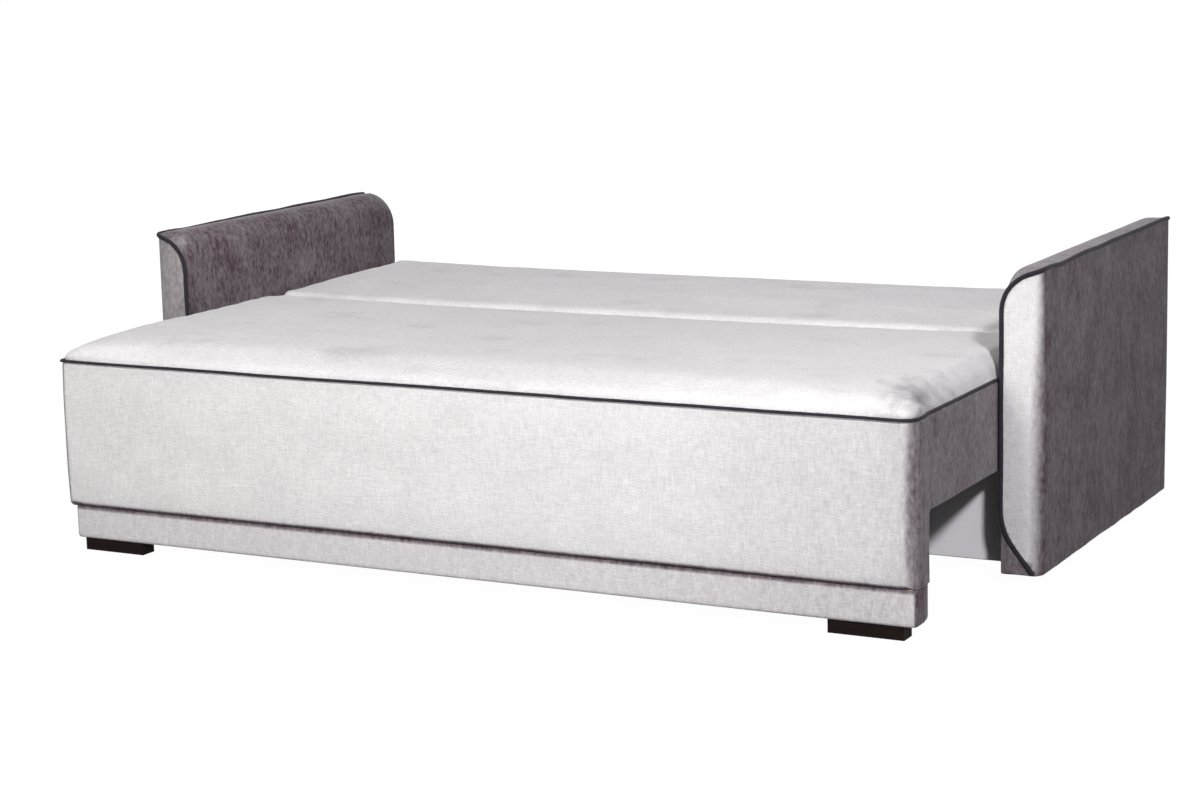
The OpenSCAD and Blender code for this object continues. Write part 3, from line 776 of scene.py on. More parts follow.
@dataclass
class Mattress:
    """A crowned foam mattress with its piped or sewn lower edge.

    Attributes:
        name: The piece's name.
        node: The solid that it stands for.
        body: The body that it rides on.
        half: Half its width at the crown's foot.
        front: Its front at the crown's foot, from the arms' front.
        rear: Its rear, from the arms' front.
        roll_ends: How far the crown rolls in at the front corners.
        roll_rear: How far it rolls in at the rear.
        roll_front: How far it rolls in at the front.
        roll_back: How far it rolls in at the rear corners.
        roll_reach: Depth over which the roll goes from the front's to the rear's.
        left_share: Share of the roll at the left end.
        corner: Radius of its corners at the foot.
        sharper: How much smaller the front left corner's radius is.
        widening: Growth of the corners' radius up the crown, for a metre of roll.
        held_z: Height up to which it is held still while it fills.
        rise: Height of the crown.
        arch: How much higher its middle stands.
        tilt: How much higher its rear stands.
        foot_blend: Height over which the unevenness sets in.
        broad: Its broad unevenness.
        puckers: Small puckers above the edge.
        patches: Brushed patches of the nap.
        patch_range: Values of the patches at which the nap starts to turn and is turned.
        cell: Length of the loft's cells.
    """

    name: str
    node: str
    body: str
    half: float
    front: float
    rear: float
    roll_ends: float
    roll_rear: float
    roll_front: float
    roll_back: float = 0.020
    roll_reach: float = 0.19
    left_share: float = 1.0
    corner: float = 0.012
    sharper: float = 0.0
    widening: float = 0.5
    held_z: float = 0.431
    rise: float = 0.039
    arch: float = 0.003
    tilt: float = 0.0
    foot_blend: float = 0.02
    broad: Waves = Waves(0.0016, (3.0, 5.0, 4.0), 2, 1.7)
    puckers: Waves = Waves(0.0014, (28.0, 28.0, 10.0), 2, 3.1)
    patches: Waves = Waves(1.0, (6.0, 9.0, 6.0), 4, 11.0)
    patch_range: tuple[float, float] = (0.08, 0.55)
    patch_nap: float = 0.16
    crown_steps: int = 10
    cell: float = 0.020
    filling: Stuffing = Stuffing(0.0130)

    def low_rings(self) -> list[np.ndarray]:
        """Returns the rings under the crown, from the underside up."""
        raise NotImplementedError

    def crown_rings(self) -> list[np.ndarray]:
        """Draws the crown.

        Returns:
            Its rings, from its foot to its flat top.
        """
        rings = []
        for i in range(self.crown_steps + 1):
            angle = math.pi / 2 * i / self.crown_steps
            inset = 1.0 - math.cos(angle)
            front = SIZES.y(self.front) + self.roll_front * inset
            rear = SIZES.y(self.rear) - self.roll_rear * inset
            radius = self.corner + self.widening * self.roll_ends * inset
            z = SIZES.crown_z + self.rise * math.sin(angle)
            ring = rounded_ring(-self.half, self.half, front, rear, radius, z, self.sharper)
            rings.append(self.narrow(densify(ring, self.cell), inset))
        return rings

    def narrow(self, ring: np.ndarray, inset: float) -> np.ndarray:
        """Draws a ring's ends in for the crown, more by the front corners than further back.

        Args:
            ring: The ring.
            inset: Share of the roll, from 0 at the crown's foot to 1 at its top.

        Returns:
            The ring as it lies in the crown.
        """
        made = ring.copy()
        most = np.where(ring[:, 0] < 0.0, self.roll_ends * self.left_share, self.roll_ends)
        near = np.exp(-((ring[:, 1] - SIZES.y(self.front)) / self.roll_reach) ** 2)
        roll = self.roll_back + (most - self.roll_back) * near
        wide = np.array([self.flare(x, y) for x, y in ring[:, :2]])
        made[:, 0] *= 1.0 + (wide - roll * inset) / self.half
        return made

    def flare(self, x: float, y: float) -> float:
        """Returns how much wider than its plan the foot is."""
        return 0.0

    def wrinkle(self, piece: bpy.types.Object) -> None:
        """Adds the crown's arch, broad unevenness and small puckers above the edge.

        Args:
            piece: The filled mattress.
        """
        points = get_points(piece)
        normals = get_normals(piece)
        middle, deep_half = SIZES.y((self.front + self.rear) / 2), (self.rear - self.front) / 2
        across = 1.0 - np.clip(np.abs(points[:, 0]) / self.half, 0, 1) ** 2
        deep = 1.0 - np.clip(np.abs(points[:, 1] - middle) / deep_half, 0, 1) ** 2
        over = smooth_step(SIZES.crown_z, SIZES.crown_z + self.foot_blend, points[:, 2])
        points[:, 2] += self.arch * across * deep * over
        points[:, 2] += self.tilt * np.sin(0.5 * np.pi * np.clip(self.share(points), 0.0, 1.0)) * over
        near_edge = 1.0 - smooth_step(SIZES.crown_z + 0.004, SIZES.cushion_top - 0.006, points[:, 2])
        rough = self.broad.at(points) + near_edge * self.puckers.at(points)
        points += normals * (rough * over)[:, None]
        set_points(piece, self.settle(points))

    def share(self, points: np.ndarray) -> np.ndarray:
        """Returns how far back each point lies, from 0 at the front to 1 at the rear."""
        return (points[:, 1] - SIZES.y(self.front)) / (self.rear - self.front)

    def settle(self, points: np.ndarray) -> np.ndarray:
        """Returns the points as the mattress lies against its neighbours; here nothing presses on it."""
        return points

    def nap(self, points: np.ndarray) -> np.ndarray:
        """Returns how dark the nap is at each point, in brushed patches."""
        return self.patch_nap * smooth_step(*self.patch_range, self.patches.at(points))

    def build(self, finishes: Finishes) -> None:
        """Makes the mattress, fills it and hands it over.

        Args:
            finishes: The bed's materials.
        """
        piece = loft(self.name, self.low_rings() + self.crown_rings())
        stuff(piece, self.filling, lambda p: p[:, 2] < self.held_z)
        subdivide(piece)
        self.wrinkle(piece)
        set_attribute(piece, "nap", self.nap(get_points(piece)))
        finishes.hand_over(piece, self.body, "upholstery", (self.node,))


@dataclass
class SeatMattress(Mattress):
    """The seat's mattress, with the brushed corner that faces the right arm.

    Attributes:
        foam_half: Half the width of the foam under the crown.
        foam_front: Its front, from the arms' front.
        foam_z: Heights of its underside, its lower edge and its upper edge.
        foot_in: How far the crown's foot is drawn in at the front.
        foot_z: Heights of the foot's two rings.
        scuff_place: Middle of the brushed corner, from the arms' front.
        scuff_size: Its reach along X and Y.
        scuff_edge: How ragged it is.
        scuff_nap: How dark it is.
        middle_darkening: How much darker the middle of the mattress is.
        middle_reach: How far that reaches to each side.
    """

    name: str = "seat_mattress"
    node: str = "seat_cushion"
    body: str = "seat"
    half: float = 0.9925
    front: float = -0.4650
    rear: float = SIZES.seat_rear
    roll_ends: float = 0.150
    roll_rear: float = 0.020
    roll_front: float = 0.130
    roll_back: float = 0.034
    left_share: float = 0.72
    corner: float = 0.038
    sharper: float = 0.020
    foam_half: float = 0.9858
    foam_front: float = -0.4396
    foam_z: tuple[float, float, float] = (0.2986, 0.320, 0.416)
    foot_in: float = 0.008
    foot_z: tuple[float, float] = (0.4212, 0.4285)
    scuff_place: tuple[float, float] = (0.972, -0.365)
    scuff_size: tuple[float, float] = (0.090, 0.150)
    scuff_edge: Waves = Waves(0.9, (36.0, 20.0, 30.0), 3, 5.0)
    scuff_nap: float = 0.60
    middle_darkening: float = 0.09
    middle_reach: float = 0.5

    def low_rings(self) -> list[np.ndarray]:
        """Draws the foam under the crown.

        Returns:
            Its rings, from the slats up.
        """
        x, front, rear = self.foam_half, SIZES.y(self.foam_front), SIZES.y(self.rear)
        foot = SIZES.y(self.front) + self.foot_in
        rings = []
        for z, inset, radius in zip(self.foam_z, (0.003, 0.0, 0.0), (0.008, 0.010, 0.012)):
            ring = rounded_ring(-x + inset, x - inset, front + inset, rear - inset, radius, z)
            rings.append(densify(ring, self.cell))
        for z in self.foot_z:
            ring = rounded_ring(-x, x, foot, rear, self.corner, z, self.sharper)
            rings.append(self.narrow(densify(ring, self.cell), 0.0))
        return rings

    def nap(self, points: np.ndarray) -> np.ndarray:
        """Adds the brushed corner and a darker middle.

        Args:
            points: The places, one row each.

        Returns:
            How dark each point is.
        """
        (x, y), (wide, deep) = self.scuff_place, self.scuff_size
        away = np.hypot((points[:, 0] - x) / wide, (points[:, 1] - SIZES.y(y)) / deep)
        scuff = self.scuff_nap * smooth_step(0.0, 1.4, 1.10 - away + self.scuff_edge.at(points))
        # The middle of the mattress is set darker.
        middle = self.middle_darkening * np.exp(-(points[:, 0] / self.middle_reach) ** 2)
        return np.maximum(super().nap(points) + middle, scuff)

    def flare(self, x: float, y: float) -> float:
        """Follows the padded front."""
        return float(SIZES.flare(x, y))


@dataclass
class BackMattress(Mattress):
    """The back's mattress, whose front edge stands behind the seat when the bed is closed.

    Attributes:
        sides: Insets and heights of the rings of its padded sides, from the underside up.
        pressed_z: Height to which its front edge is pressed.
        free_rise: How much higher the rest of it may stand.
        free_share: Where it starts to stand free and is free, as shares of its depth.
        give: Share by which it still swells past that height.
    """

    name: str = "back_mattress"
    node: str = "back_cushion"
    body: str = "back"
    half: float = SIZES.seat_half
    front: float = SIZES.back_front
    rear: float = SIZES.arm_depth
    roll_ends: float = 0.020
    roll_rear: float = 0.024
    roll_front: float = 0.017
    held_z: float = 0.372
    rise: float = 0.040
    tilt: float = 0.010
    sides: tuple[tuple[float, float], ...] = (
        (0.030, 0.3474), (0.009, 0.3470), (0.003, 0.3506), (0.0005, 0.3590), (0.0, 0.3900))
    pressed_z: float = 0.4698
    free_rise: float = 0.018
    free_share: tuple[float, float] = (0.14, 0.45)
    give: float = 0.15

    def low_rings(self) -> list[np.ndarray]:
        """Draws the padded sides.

        Returns:
            Their rings, from the underside up.
        """
        rings = []
        for inset, z in self.sides:
            ring = rounded_ring(-self.half + inset, self.half - inset, SIZES.y(self.front) + inset,
                                SIZES.y(self.rear) - inset, self.corner, z)
            rings.append(densify(ring, self.cell))
        return rings

    def settle(self, points: np.ndarray) -> np.ndarray:
        """Presses the front edge flat, so that it clears the seat.

        Args:
            points: The places, one row each.

        Returns:
            The places after that.
        """
        highest = self.pressed_z + self.free_rise * smooth_step(*self.free_share, self.share(points))
        made = points.copy()
        over = points[:, 2] - highest
        made[:, 2] = np.where(over > 0.0, highest + self.give * over, points[:, 2])
        return made


@dataclass
class SeatCover:
    """The cover of the apron and the seat's sides: one sheet round the front corners.

    Attributes:
        bulge: How far the padded front stands out between its edges.
        low_swell: How much fuller its lower half is.
        cell: Size of the mesh's cells.
        wall: Thickness of the cover with its wadding.
        front_roll: Radius of the front's lower edge.
        side_roll: Radius of the upper edges and of the lower edges behind the apron.
        left_roll: Radius of the lower edge at the apron's left end.
        right_roll: Radius of the lower edge at its right end, which runs on into the plinth.
        tuck: How far the hem is tucked in past its roll, at the ends and more at the front.
        hem_up: Height of the hem's rows and of its tuck above the apron's foot.
        side_nap_and_shade: How dark the ends are: darker nap, partly painted shade.
        side_range: How far round a corner the ends' darkening starts and is full.
        under_shade: How dark the painted shade on the underside is.
        hem_shade: How dark the painted shade along the hem is.
        hem_reach: Height over which that fades.
        corner_shade: How dark the painted shade at the apron's right corner is.
        corner_reach: Width over which that fades.
        right_shade: How much darker the right end of the front is than its left, as painted shade.
    """

    bulge: float = 0.0035
    low_swell: float = 1.15
    cell: float = 0.011
    wall: float = 0.0065
    front_roll: float = 0.0125
    side_roll: float = 0.0055
    left_roll: float = 0.010
    right_roll: float = 0.0012
    tuck: tuple[float, float] = (0.0022, 0.004)
    hem_up: tuple[float, float] = (0.0003, 0.0001)
    arc_rows: int = 6
    uneven: Waves = Waves(0.0009, (7.0, 7.0, 7.0), 2, 21.0)
    puckers: Waves = Waves(0.0009, (30.0, 30.0, 12.0), 2, 33.0)
    hem_waves: Waves = Waves(0.0014, (2.6, 2.6, 0.0), 2, 4.0)
    ragged: Waves = Waves(0.22, (34.0, 34.0, 8.0), 3, 9.0)
    side_nap_and_shade: float = 0.80
    side_range: tuple[float, float] = (0.06, 0.72)
    under_shade: float = 0.95
    hem_shade: float = 0.34
    hem_reach: float = 0.010
    corner_shade: float = 0.30
    corner_reach: float = 0.028
    right_shade: float = 0.16

    def plan(self) -> tuple[np.ndarray, np.ndarray]:
        """Draws the cover's outline from above, from its rear left end to its rear right end.

        Returns:
            The outline's points, and its outward directions.
        """
        x, front, rear = SIZES.seat_half, SIZES.y(SIZES.seat_front) + self.bulge, SIZES.y(SIZES.seat_rear)
        step = SIZES.y(SIZES.apron_rear)
        r_left, r_right = SIZES.left_corner, SIZES.seat_corner
        far = np.linspace(rear, step, int((rear - step) / self.cell) + 1)
        count = int((step - front) / self.cell)
        turns = np.linspace(0.0, math.pi / 2, 9)[1:-1]
        left, right = -x - SIZES.flare_left + r_left, x + SIZES.flare_right - r_right
        line: list[tuple[float, float, float, float]] = []
        for d in np.concatenate([far, np.linspace(step, front + r_left, count)[1:]]):
            line.append((-x - SIZES.flare(-1, d), d, -1.0, 0.0))
        for a in turns:
            out = (-math.cos(a), -math.sin(a))
            line.append((left + r_left * out[0], front + r_left + r_left * out[1], *out))
        line += [(d, front, 0.0, -1.0) for d in np.linspace(left, right, int(2 * (x - r_right) / self.cell))]
        for a in turns:
            out = (math.sin(a), -math.cos(a))
            line.append((right + r_right * out[0], front + r_right + r_right * out[1], *out))
        for d in np.concatenate([np.linspace(front + r_right, step, count)[:-1], far[::-1]]):
            line.append((x + SIZES.flare(1, d), d, 1.0, 0.0))
        rows = np.array(line)
        return rows[:, :2], rows[:, 2:]

    def rows(self, front: np.ndarray, apron: np.ndarray,
             left: np.ndarray) -> tuple[np.ndarray, np.ndarray, int]:
        """Works out each row's inset and height at each column.

        Args:
            front: How far each column faces the front, from 0 to 1.
            apron: Which columns reach down over the apron.
            left: Which columns are in the left half.

        Returns:
            Insets, heights, and the row at which the seat's underside starts.
        """
        hem_up, tuck_up = self.hem_up
        low, under, top = SIZES.apron_low + hem_up, SIZES.seat_under, SIZES.side_top
        end = np.where(left, self.left_roll, self.right_roll)
        roll = end + (self.front_roll - end) * front ** 2
        turns = np.linspace(0.0, math.pi / 2, self.arc_rows)
        deep = self.tuck[0] + self.tuck[1] * front
        insets = [roll + share * deep for share in (1.0, 0.66, 0.33)]
        heights = [SIZES.apron_low + tuck_up + 0 * front] * len(insets)
        for a in turns:
            insets.append(roll * (1.0 - math.sin(a)))
            heights.append(low + roll * (1.0 - math.cos(a)))
        for share in np.linspace(0.0, 1.0, 11)[1:]:
            insets.append(0 * front)
            heights.append(low + roll + (under - low - roll) * share)
        split = len(insets) - 1
        edge, row_step = self.side_roll, 0.0018
        insets[split] = np.where(apron, 0.0, edge + self.tuck[0])
        for i, a in enumerate(turns):
            insets.append(np.where(apron, 0.0, edge * (1.0 - math.sin(a))))
            free = under + edge * (1.0 - math.cos(a))
            heights.append(np.where(apron, under + (i + 1) * row_step, free))
        start = under + self.arc_rows * row_step
        for share in np.linspace(0.0, 1.0, 15)[1:]:
            insets.append(0 * front)
            heights.append(start + (top - edge - start) * share + 0 * front)
        for a in turns[1:]:
            insets.append(edge * (1.0 - math.cos(a)) + 0 * front)
            heights.append(top - edge + edge * math.sin(a) + 0 * front)
        return np.array(insets), np.array(heights), split

    def build(self, finishes: Finishes) -> None:
        """Makes the cover and hands it over.

        Args:
            finishes: The bed's materials.
        """
        plan, out = self.plan()
        apron = plan[:, 1] <= SIZES.y(SIZES.apron_rear) + 1e-6
        insets, heights, split = self.rows(np.abs(out[:, 1]), apron, plan[:, 0] < 0.0)
        count, columns = insets.shape
        points = np.zeros((count, columns, 3))
        points[:, :, :2] = plan[None] - out[None] * insets[:, :, None]
        points[:, :, 2] = heights
        directions = np.tile(np.column_stack([out, np.zeros(columns)]), (count, 1))
        self.shape(points.reshape(-1, 3), directions, insets.ravel())
        piece = grid_skin("seat_cover", points,
                          lambda row, col: row >= split or (apron[col] and apron[col + 1]))
        thicken(piece, self.wall, outwards=False)
        subdivide(piece)
        self.set_nap_and_shade(piece)
        finishes.hand_over(piece, "seat", "upholstery",
                           ("apron_pad", "seat_side_left", "seat_side_right"))

    def shape(self, points: np.ndarray, out: np.ndarray, inset: np.ndarray) -> None:
        """Pads the sheet: a full front, and a little unevenness that grows towards its hems.

        Args:
            points: The sheet's points, which are moved.
            out: The outward direction at each point.
            inset: How far each point is drawn in.
        """
        pad_height, edge_height, drawn_in = 0.10, 0.03, 0.0010
        end_lift, end_place, end_reach = 0.003, 0.012, 0.022
        y, z = points[:, 1], points[:, 2]
        front = np.abs(out[:, 1])
        low = np.where(y <= SIZES.y(SIZES.apron_rear) + 1e-6, SIZES.apron_low, SIZES.seat_under)
        from_low, from_top = z - low, SIZES.side_top - z
        full = np.clip(np.minimum(from_low, from_top) / pad_height, 0.0, 1.0)
        swell = self.bulge * front * (np.sin(full * math.pi / 2) - 1.0)
        swell[from_top > from_low] *= self.low_swell
        edge = np.exp(-np.minimum(from_low, from_top) / edge_height)
        rough = self.uneven.at(points) - drawn_in + edge * self.puckers.at(points)
        points += out * (swell + rough)[:, None]
        outer = (1.0 - smooth_step(0.004, 0.0115, inset)) * smooth_step(0.5, 0.95, front)
        from_left = points[:, 0] + SIZES.seat_half + SIZES.flare_left
        from_right = SIZES.seat_half + SIZES.flare_right - points[:, 0]
        end = np.exp(-((np.minimum(from_left, from_right) - end_place) / end_reach) ** 2)
        lift = self.hem_waves.depth + self.hem_waves.at(points) + end_lift * end
        points[:, 2] += outer * np.exp(-from_low / edge_height) * lift

    def set_nap_and_shade(self, piece: bpy.types.Object) -> None:
        """Turns the ends dark, as nap with painted shade, and paints shade under and along the hems, with a
        soft edge round the corners.

        Args:
            piece: The cover.
        """
        points, normals = get_points(piece), get_normals(piece)
        rough = self.ragged.at(points)
        upright = np.hypot(normals[:, 0], normals[:, 1]) > 0.2
        # The ends' dark nap is partly painted shade.
        side = self.side_nap_and_shade * smooth_step(*self.side_range, end_facing(normals) + rough * upright)
        # Painted shade: faces that point down are darkened.
        under = self.under_shade * smooth_step(0.10, 0.75, -normals[:, 2])
        # Painted shade: the cover darkens towards the hem, as in the crevice's shadow; this sum also holds
        # the corner's and the right end's painted shade.
        hem = self.hem_shade * np.exp(-(points[:, 2] - SIZES.apron_low) / self.hem_reach)
        on_apron = points[:, 1] < SIZES.y(SIZES.apron_rear)
        # Painted shade: the apron darkens towards its right corner.
        corner = self.corner_shade * np.exp(-(SIZES.seat_half - points[:, 0]) / self.corner_reach) * on_apron
        hem = hem + np.clip(corner + rough * 0.4 * (corner > 0.05), 0.0, 1.0)
        # Painted shade: the front darkens towards its right end.
        hem = hem + self.right_shade * smooth_step(0.35, 0.90, points[:, 0])
        set_attribute(piece, "nap", np.maximum(np.maximum(side, under), hem))


@dataclass
class Plinth:
    """The covered rail under the apron.

    Attributes:
        half: Half its width.
        front: Its front, from the arms' front.
        rear: Its rear, from the arms' front.
        low: Height of its underside.
        top: Height of its upper side.
        radius: Radius of its upright edges.
        crease: Height of the shadowed crease under the apron.
        side_nap_and_shade: How dark its ends are: darker nap, partly painted shade.
        crease_shade: How dark the painted shade in the crease is.
        front_shades: How dark its front is at the left and at the right, as painted shade under the apron.
    """

    half: float = 0.9915
    front: float = -0.456
    rear: float = SIZES.apron_rear
    low: float = 0.027
    top: float = 0.0980
    radius: float = 0.011
    crease: float = 0.011
    side_nap_and_shade: float = 0.92
    crease_shade: float = 0.90
    front_shades: tuple[float, float] = (0.16, 0.31)
    cell: float = 0.015
    uneven: Waves = Waves(0.0007, (9.0, 9.0, 9.0), 2, 2.0)

    def build(self, finishes: Finishes) -> None:
        """Makes the plinth's cover and hands it over.

        Args:
            finishes: The bed's materials.
        """
        edge = 0.006
        height = self.top - self.low
        spans = [(edge, 0.0), (0.25 * edge, 0.25 * edge), (0.0, edge)]
        spans += [(0.0, float(rise)) for rise in np.linspace(2 * edge, height - 0.002, 20)]
        spans += [(0.001, height)]
        rings = []
        for inset, rise in spans:
            ring = rounded_ring(-self.half + inset, self.half - inset, SIZES.y(self.front) + inset,
                                SIZES.y(self.rear) - inset, self.radius, self.low + rise)
            ring = densify(ring, self.cell)
            ring[:, 0] += [SIZES.flare(1, y) if x > 0.9 else 0.0 for x, y in ring[:, :2]]
            rings.append(ring)
        piece = loft("plinth_wrap", rings)
        points = get_points(piece)
        points[:, :2] += (get_normals(piece) * self.uneven.at(points)[:, None])[:, :2]
        set_points(piece, points)
        # The ends' dark nap is partly painted shade.
        side = self.side_nap_and_shade * smooth_step(0.3, 0.8, end_facing(get_normals(piece)))
        # Painted shade: the crease under the apron is darkened.
        crease = self.crease_shade * smooth_step(self.top - self.crease, self.top - 0.001, points[:, 2])
        # Painted shade: the front is darkened as under the apron's overhang, more at the right.
        left_shade, right_shade = self.front_shades
        front = left_shade + (right_shade - left_shade) * smooth_step(0.3, 0.95, points[:, 0])
        set_attribute(piece, "nap", np.maximum(np.maximum(side, front), crease))
        finishes.hand_over(piece, "seat", "upholstery", ("plinth_cover",))


@dataclass
class Arm:
    """A padded arm with its light front panel and the darker strip that wraps round it; the strip's darkness
    is nap with painted shade.

    Attributes:
        side: Which arm it is.
        thickness: Its thickness.
        low: Height of its underside.
        rolls: Radius of the rounded inner top edge, at the end seams and in the padding between them.
        slopes: Slope of the top at the front seam, the back seam and in the padding, in degrees.
        tops: Height of the outer top edge at the front and at the back.
        swell: Depth over which the padding swells behind an end seam.
        crown: How far the padding's top rises above a straight line.
        front_round: Radius of the end panels' outer edge.
        edge_round: Radius of their inner edge.
        panel_bulge: How far the end panels stand out.
        cord_in: How far the piping's middle lies inside the arm's edges.
        bend_z: Height at which the piping starts to bend outwards.
        bend_radius: Radius of that bend.
        bend_angle: How far it turns, in degrees.
        seam_in: How far before the arm's back the piping ends.
        seeds: Places in the noise of the left and the right arm's unevenness.
        cord_seeds: Places in the noise of their piping.
        panel_naps_and_shades: How dark the end panels of the left and the right arm are; the left one's
            darkness is painted shade for its dimmer light.
        strip_naps_and_shades: How dark their wrapped strips are: darker nap, partly painted shade.
        strip_fades: How much lighter the strips get for each metre up.
        wrap_x: How far out the right arm's strip starts on its front panel.
        wrap_lean: How much further out it starts at the top.
        top_nap_and_light: How dark the right arm's top is, set paler than its strip as painted light.
        fold_nap: How dark the fold under the piping's bend is.
    """

    side: Side
    thickness: float = 0.088
    low: float = 0.026
    rolls: tuple[float, float] = (0.084, 0.050)
    slopes: tuple[float, float, float] = (19.0, 6.0, 2.0)
    tops: tuple[float, float] = (0.6525, 0.6575)
    swell: float = 0.050
    crown: float = 0.003
    front_round: float = 0.024
    edge_round: float = 0.004
    panel_bulge: float = 0.0025
    step: float = 0.012
    cord_in: float = 0.0018
    bend_z: float = 0.160
    bend_radius: float = 0.120
    bend_angle: float = 38.0
    seam_in: float = 0.018
    uneven_cells: tuple[float, float, float] = (5.0, 5.0, 4.0)
    seeds: tuple[float, float] = (60.0, 40.0)
    cord_seeds: tuple[float, float] = (8.0, 3.0)
    blur: Waves = Waves(1.0, (26.0, 26.0, 9.0), 3, 70.0)
    panel_naps_and_shades: tuple[float, float] = (0.62, 0.02)
    strip_naps_and_shades: tuple[float, float] = (0.89, 0.935)
    strip_fades: tuple[float, float] = (0.0, 0.10)
    wrap_x: float = 0.071
    wrap_lean: float = 0.011
    top_nap_and_light: float = 0.76
    fold_nap: float = 0.80

    def pick(self, pair: tuple[float, float]) -> float:
        """Returns this side's value of a left and right pair."""
        return pair[1] if self.side is Side.RIGHT else pair[0]

    def share(self, y: float) -> float:
        """Returns how far back a depth lies, from 0 to 1."""
        return min(1.0, max(0.0, y / SIZES.arm_depth))

    def fullness(self, y: float) -> float:
        """Returns how full the padding is at a depth: 0 at the end seams and 1 between them."""
        near = smooth_step(-0.004, self.swell, y)
        return float(near * smooth_step(-0.004, self.swell, SIZES.arm_depth - y))

    def slope(self, y: float) -> float:
        """Returns the top's slope at a depth, in radians."""
        seam = self.slopes[0] + (self.slopes[1] - self.slopes[0]) * self.share(y)
        return math.radians(seam + (self.slopes[2] - seam) * self.fullness(y))

    def roll(self, y: float) -> float:
        """Returns the inner top edge's radius at a depth."""
        return self.rolls[0] + (self.rolls[1] - self.rolls[0]) * self.fullness(y)

    def top(self, y: float) -> float:
        """Returns the outer top edge's height at a depth."""
        near, far = self.tops
        return near + (far - near) * self.share(y)

    def roll_centre(self, y: float) -> float:
        """Works out the height of the inner roll's centre.

        Args:
            y: The depth.

        Returns:
            The height.
        """
        a = self.slope(y)
        r = self.roll(y)
        return self.top(y) - math.tan(a) * (self.thickness - r + r * math.sin(a)) - r * math.cos(a)

    def profile(self, y: float, inner: float, outer: float) -> np.ndarray:
        """Draws the arm's section at a depth.

        Args:
            y: The depth.
            inner: How far its inner side, top and underside are drawn in.
            outer: How far its outer side is drawn in.

        Returns:
            The section's points as (out, up).
        """
        a = self.slope(y)
        centre = self.roll_centre(y)
        r = self.roll(y)
        small = 0.005
        path: list[tuple[float, float]] = []
        path += corner_arc(inner + small, self.low + inner + small, small, 180, 4)
        path += corner_arc(self.thickness - outer - small, self.low + inner + small, small, 270, 4)
        edge = (self.thickness - outer, self.top(y) - inner - math.tan(a) * outer)
        bevel = ((0.0, -0.006), (-0.0008, -0.0015), (-0.004, -0.001))
        path += [(edge[0] + out, edge[1] + up) for out, up in bevel]
        stop = math.radians(90) + a
        for i in range(11):
            turn = stop + (math.pi - stop) * i / 10
            path.append((r + (r - inner) * math.cos(turn), centre + (r - inner) * math.sin(turn)))
        return self.even(np.array(path))

    def even(self, path: np.ndarray) -> np.ndarray:
        """Cuts each span into a fixed count, so that every section has equal point counts.

        Args:
            path: The section's corners.

        Returns:
            The section's points.
        """
        counts = [1] * len(path)
        counts[3] = 6
        counts[7] = int((self.tops[0] - self.low) / self.step)
        counts[10] = 5
        counts[-1] = int((self.tops[0] - self.rolls[0] - self.low) / self.step)
        made = []
        for i, (a, b) in enumerate(zip(path, np.roll(path, -1, 0))):
            made += [a + (b - a) * k / counts[i] for k in range(counts[i])]
        return np.array(made)

    def sections(self) -> list[np.ndarray]:
        """Draws the arm's sections.

        Returns:
            The sections, from the front panel's middle to the back panel's middle.
        """
        depth, plain_from = SIZES.arm_depth, 0.034
        rims: list[tuple[float, float, float]] = []
        big, fine = self.front_round, self.edge_round
        for d in (0.0, 0.0006, 0.0016, 0.004, 0.008, 0.013, 0.018, 0.024):
            inner = fine - math.sqrt(max(0.0, fine ** 2 - (fine - min(d, fine)) ** 2))
            outer = big - math.sqrt(max(0.0, big ** 2 - (big - d) ** 2))
            rims.append((d + self.panel_bulge, inner, outer))
        middle = np.linspace(plain_from, depth - plain_from, int((depth - 2 * plain_from) / self.step))
        ends = [(depth - d, i, o) for d, i, o in reversed(rims)]
        rings = [self.ring(y, inner, outer) for y, inner, outer in rims]
        rings += [self.ring(float(y), 0.0, 0.0) for y in middle]
        rings += [self.ring(y, inner, outer) for y, inner, outer in ends]
        front = self.panel(rings[0], -self.panel_bulge)
        back = self.panel(rings[-1], self.panel_bulge)
        return front[::-1] + rings + back

    def ring(self, y: float, inner: float, outer: float) -> np.ndarray:
        """Returns one section in the frame, for the right arm, with its sides drawn in."""
        flat = self.profile(y, inner, outer)
        return np.column_stack([SIZES.half + flat[:, 0], np.full(len(flat), SIZES.y(y)), flat[:, 1]])

    def panel(self, rim: np.ndarray, bulge: float) -> list[np.ndarray]:
        """Closes an end with rings that shrink onto the panel's middle line.

        Args:
            rim: The ring at the panel's edge.
            bulge: How far the panel's middle lies behind its edge.

        Returns:
            The rings, from the edge inwards.
        """
        half = self.thickness / 2
        line = rim.copy()
        line[:, 0] = SIZES.half + half
        line[:, 2] = np.clip(rim[:, 2], self.low + half, rim[:, 2].max() - half)
        rings = []
        for share in np.linspace(0.94, 0.02, 14):
            ring = line + (rim - line) * share
            ring[:, 1] = rim[:, 1] + bulge * (1.0 - share ** 2)
            rings.append(ring)
        return rings

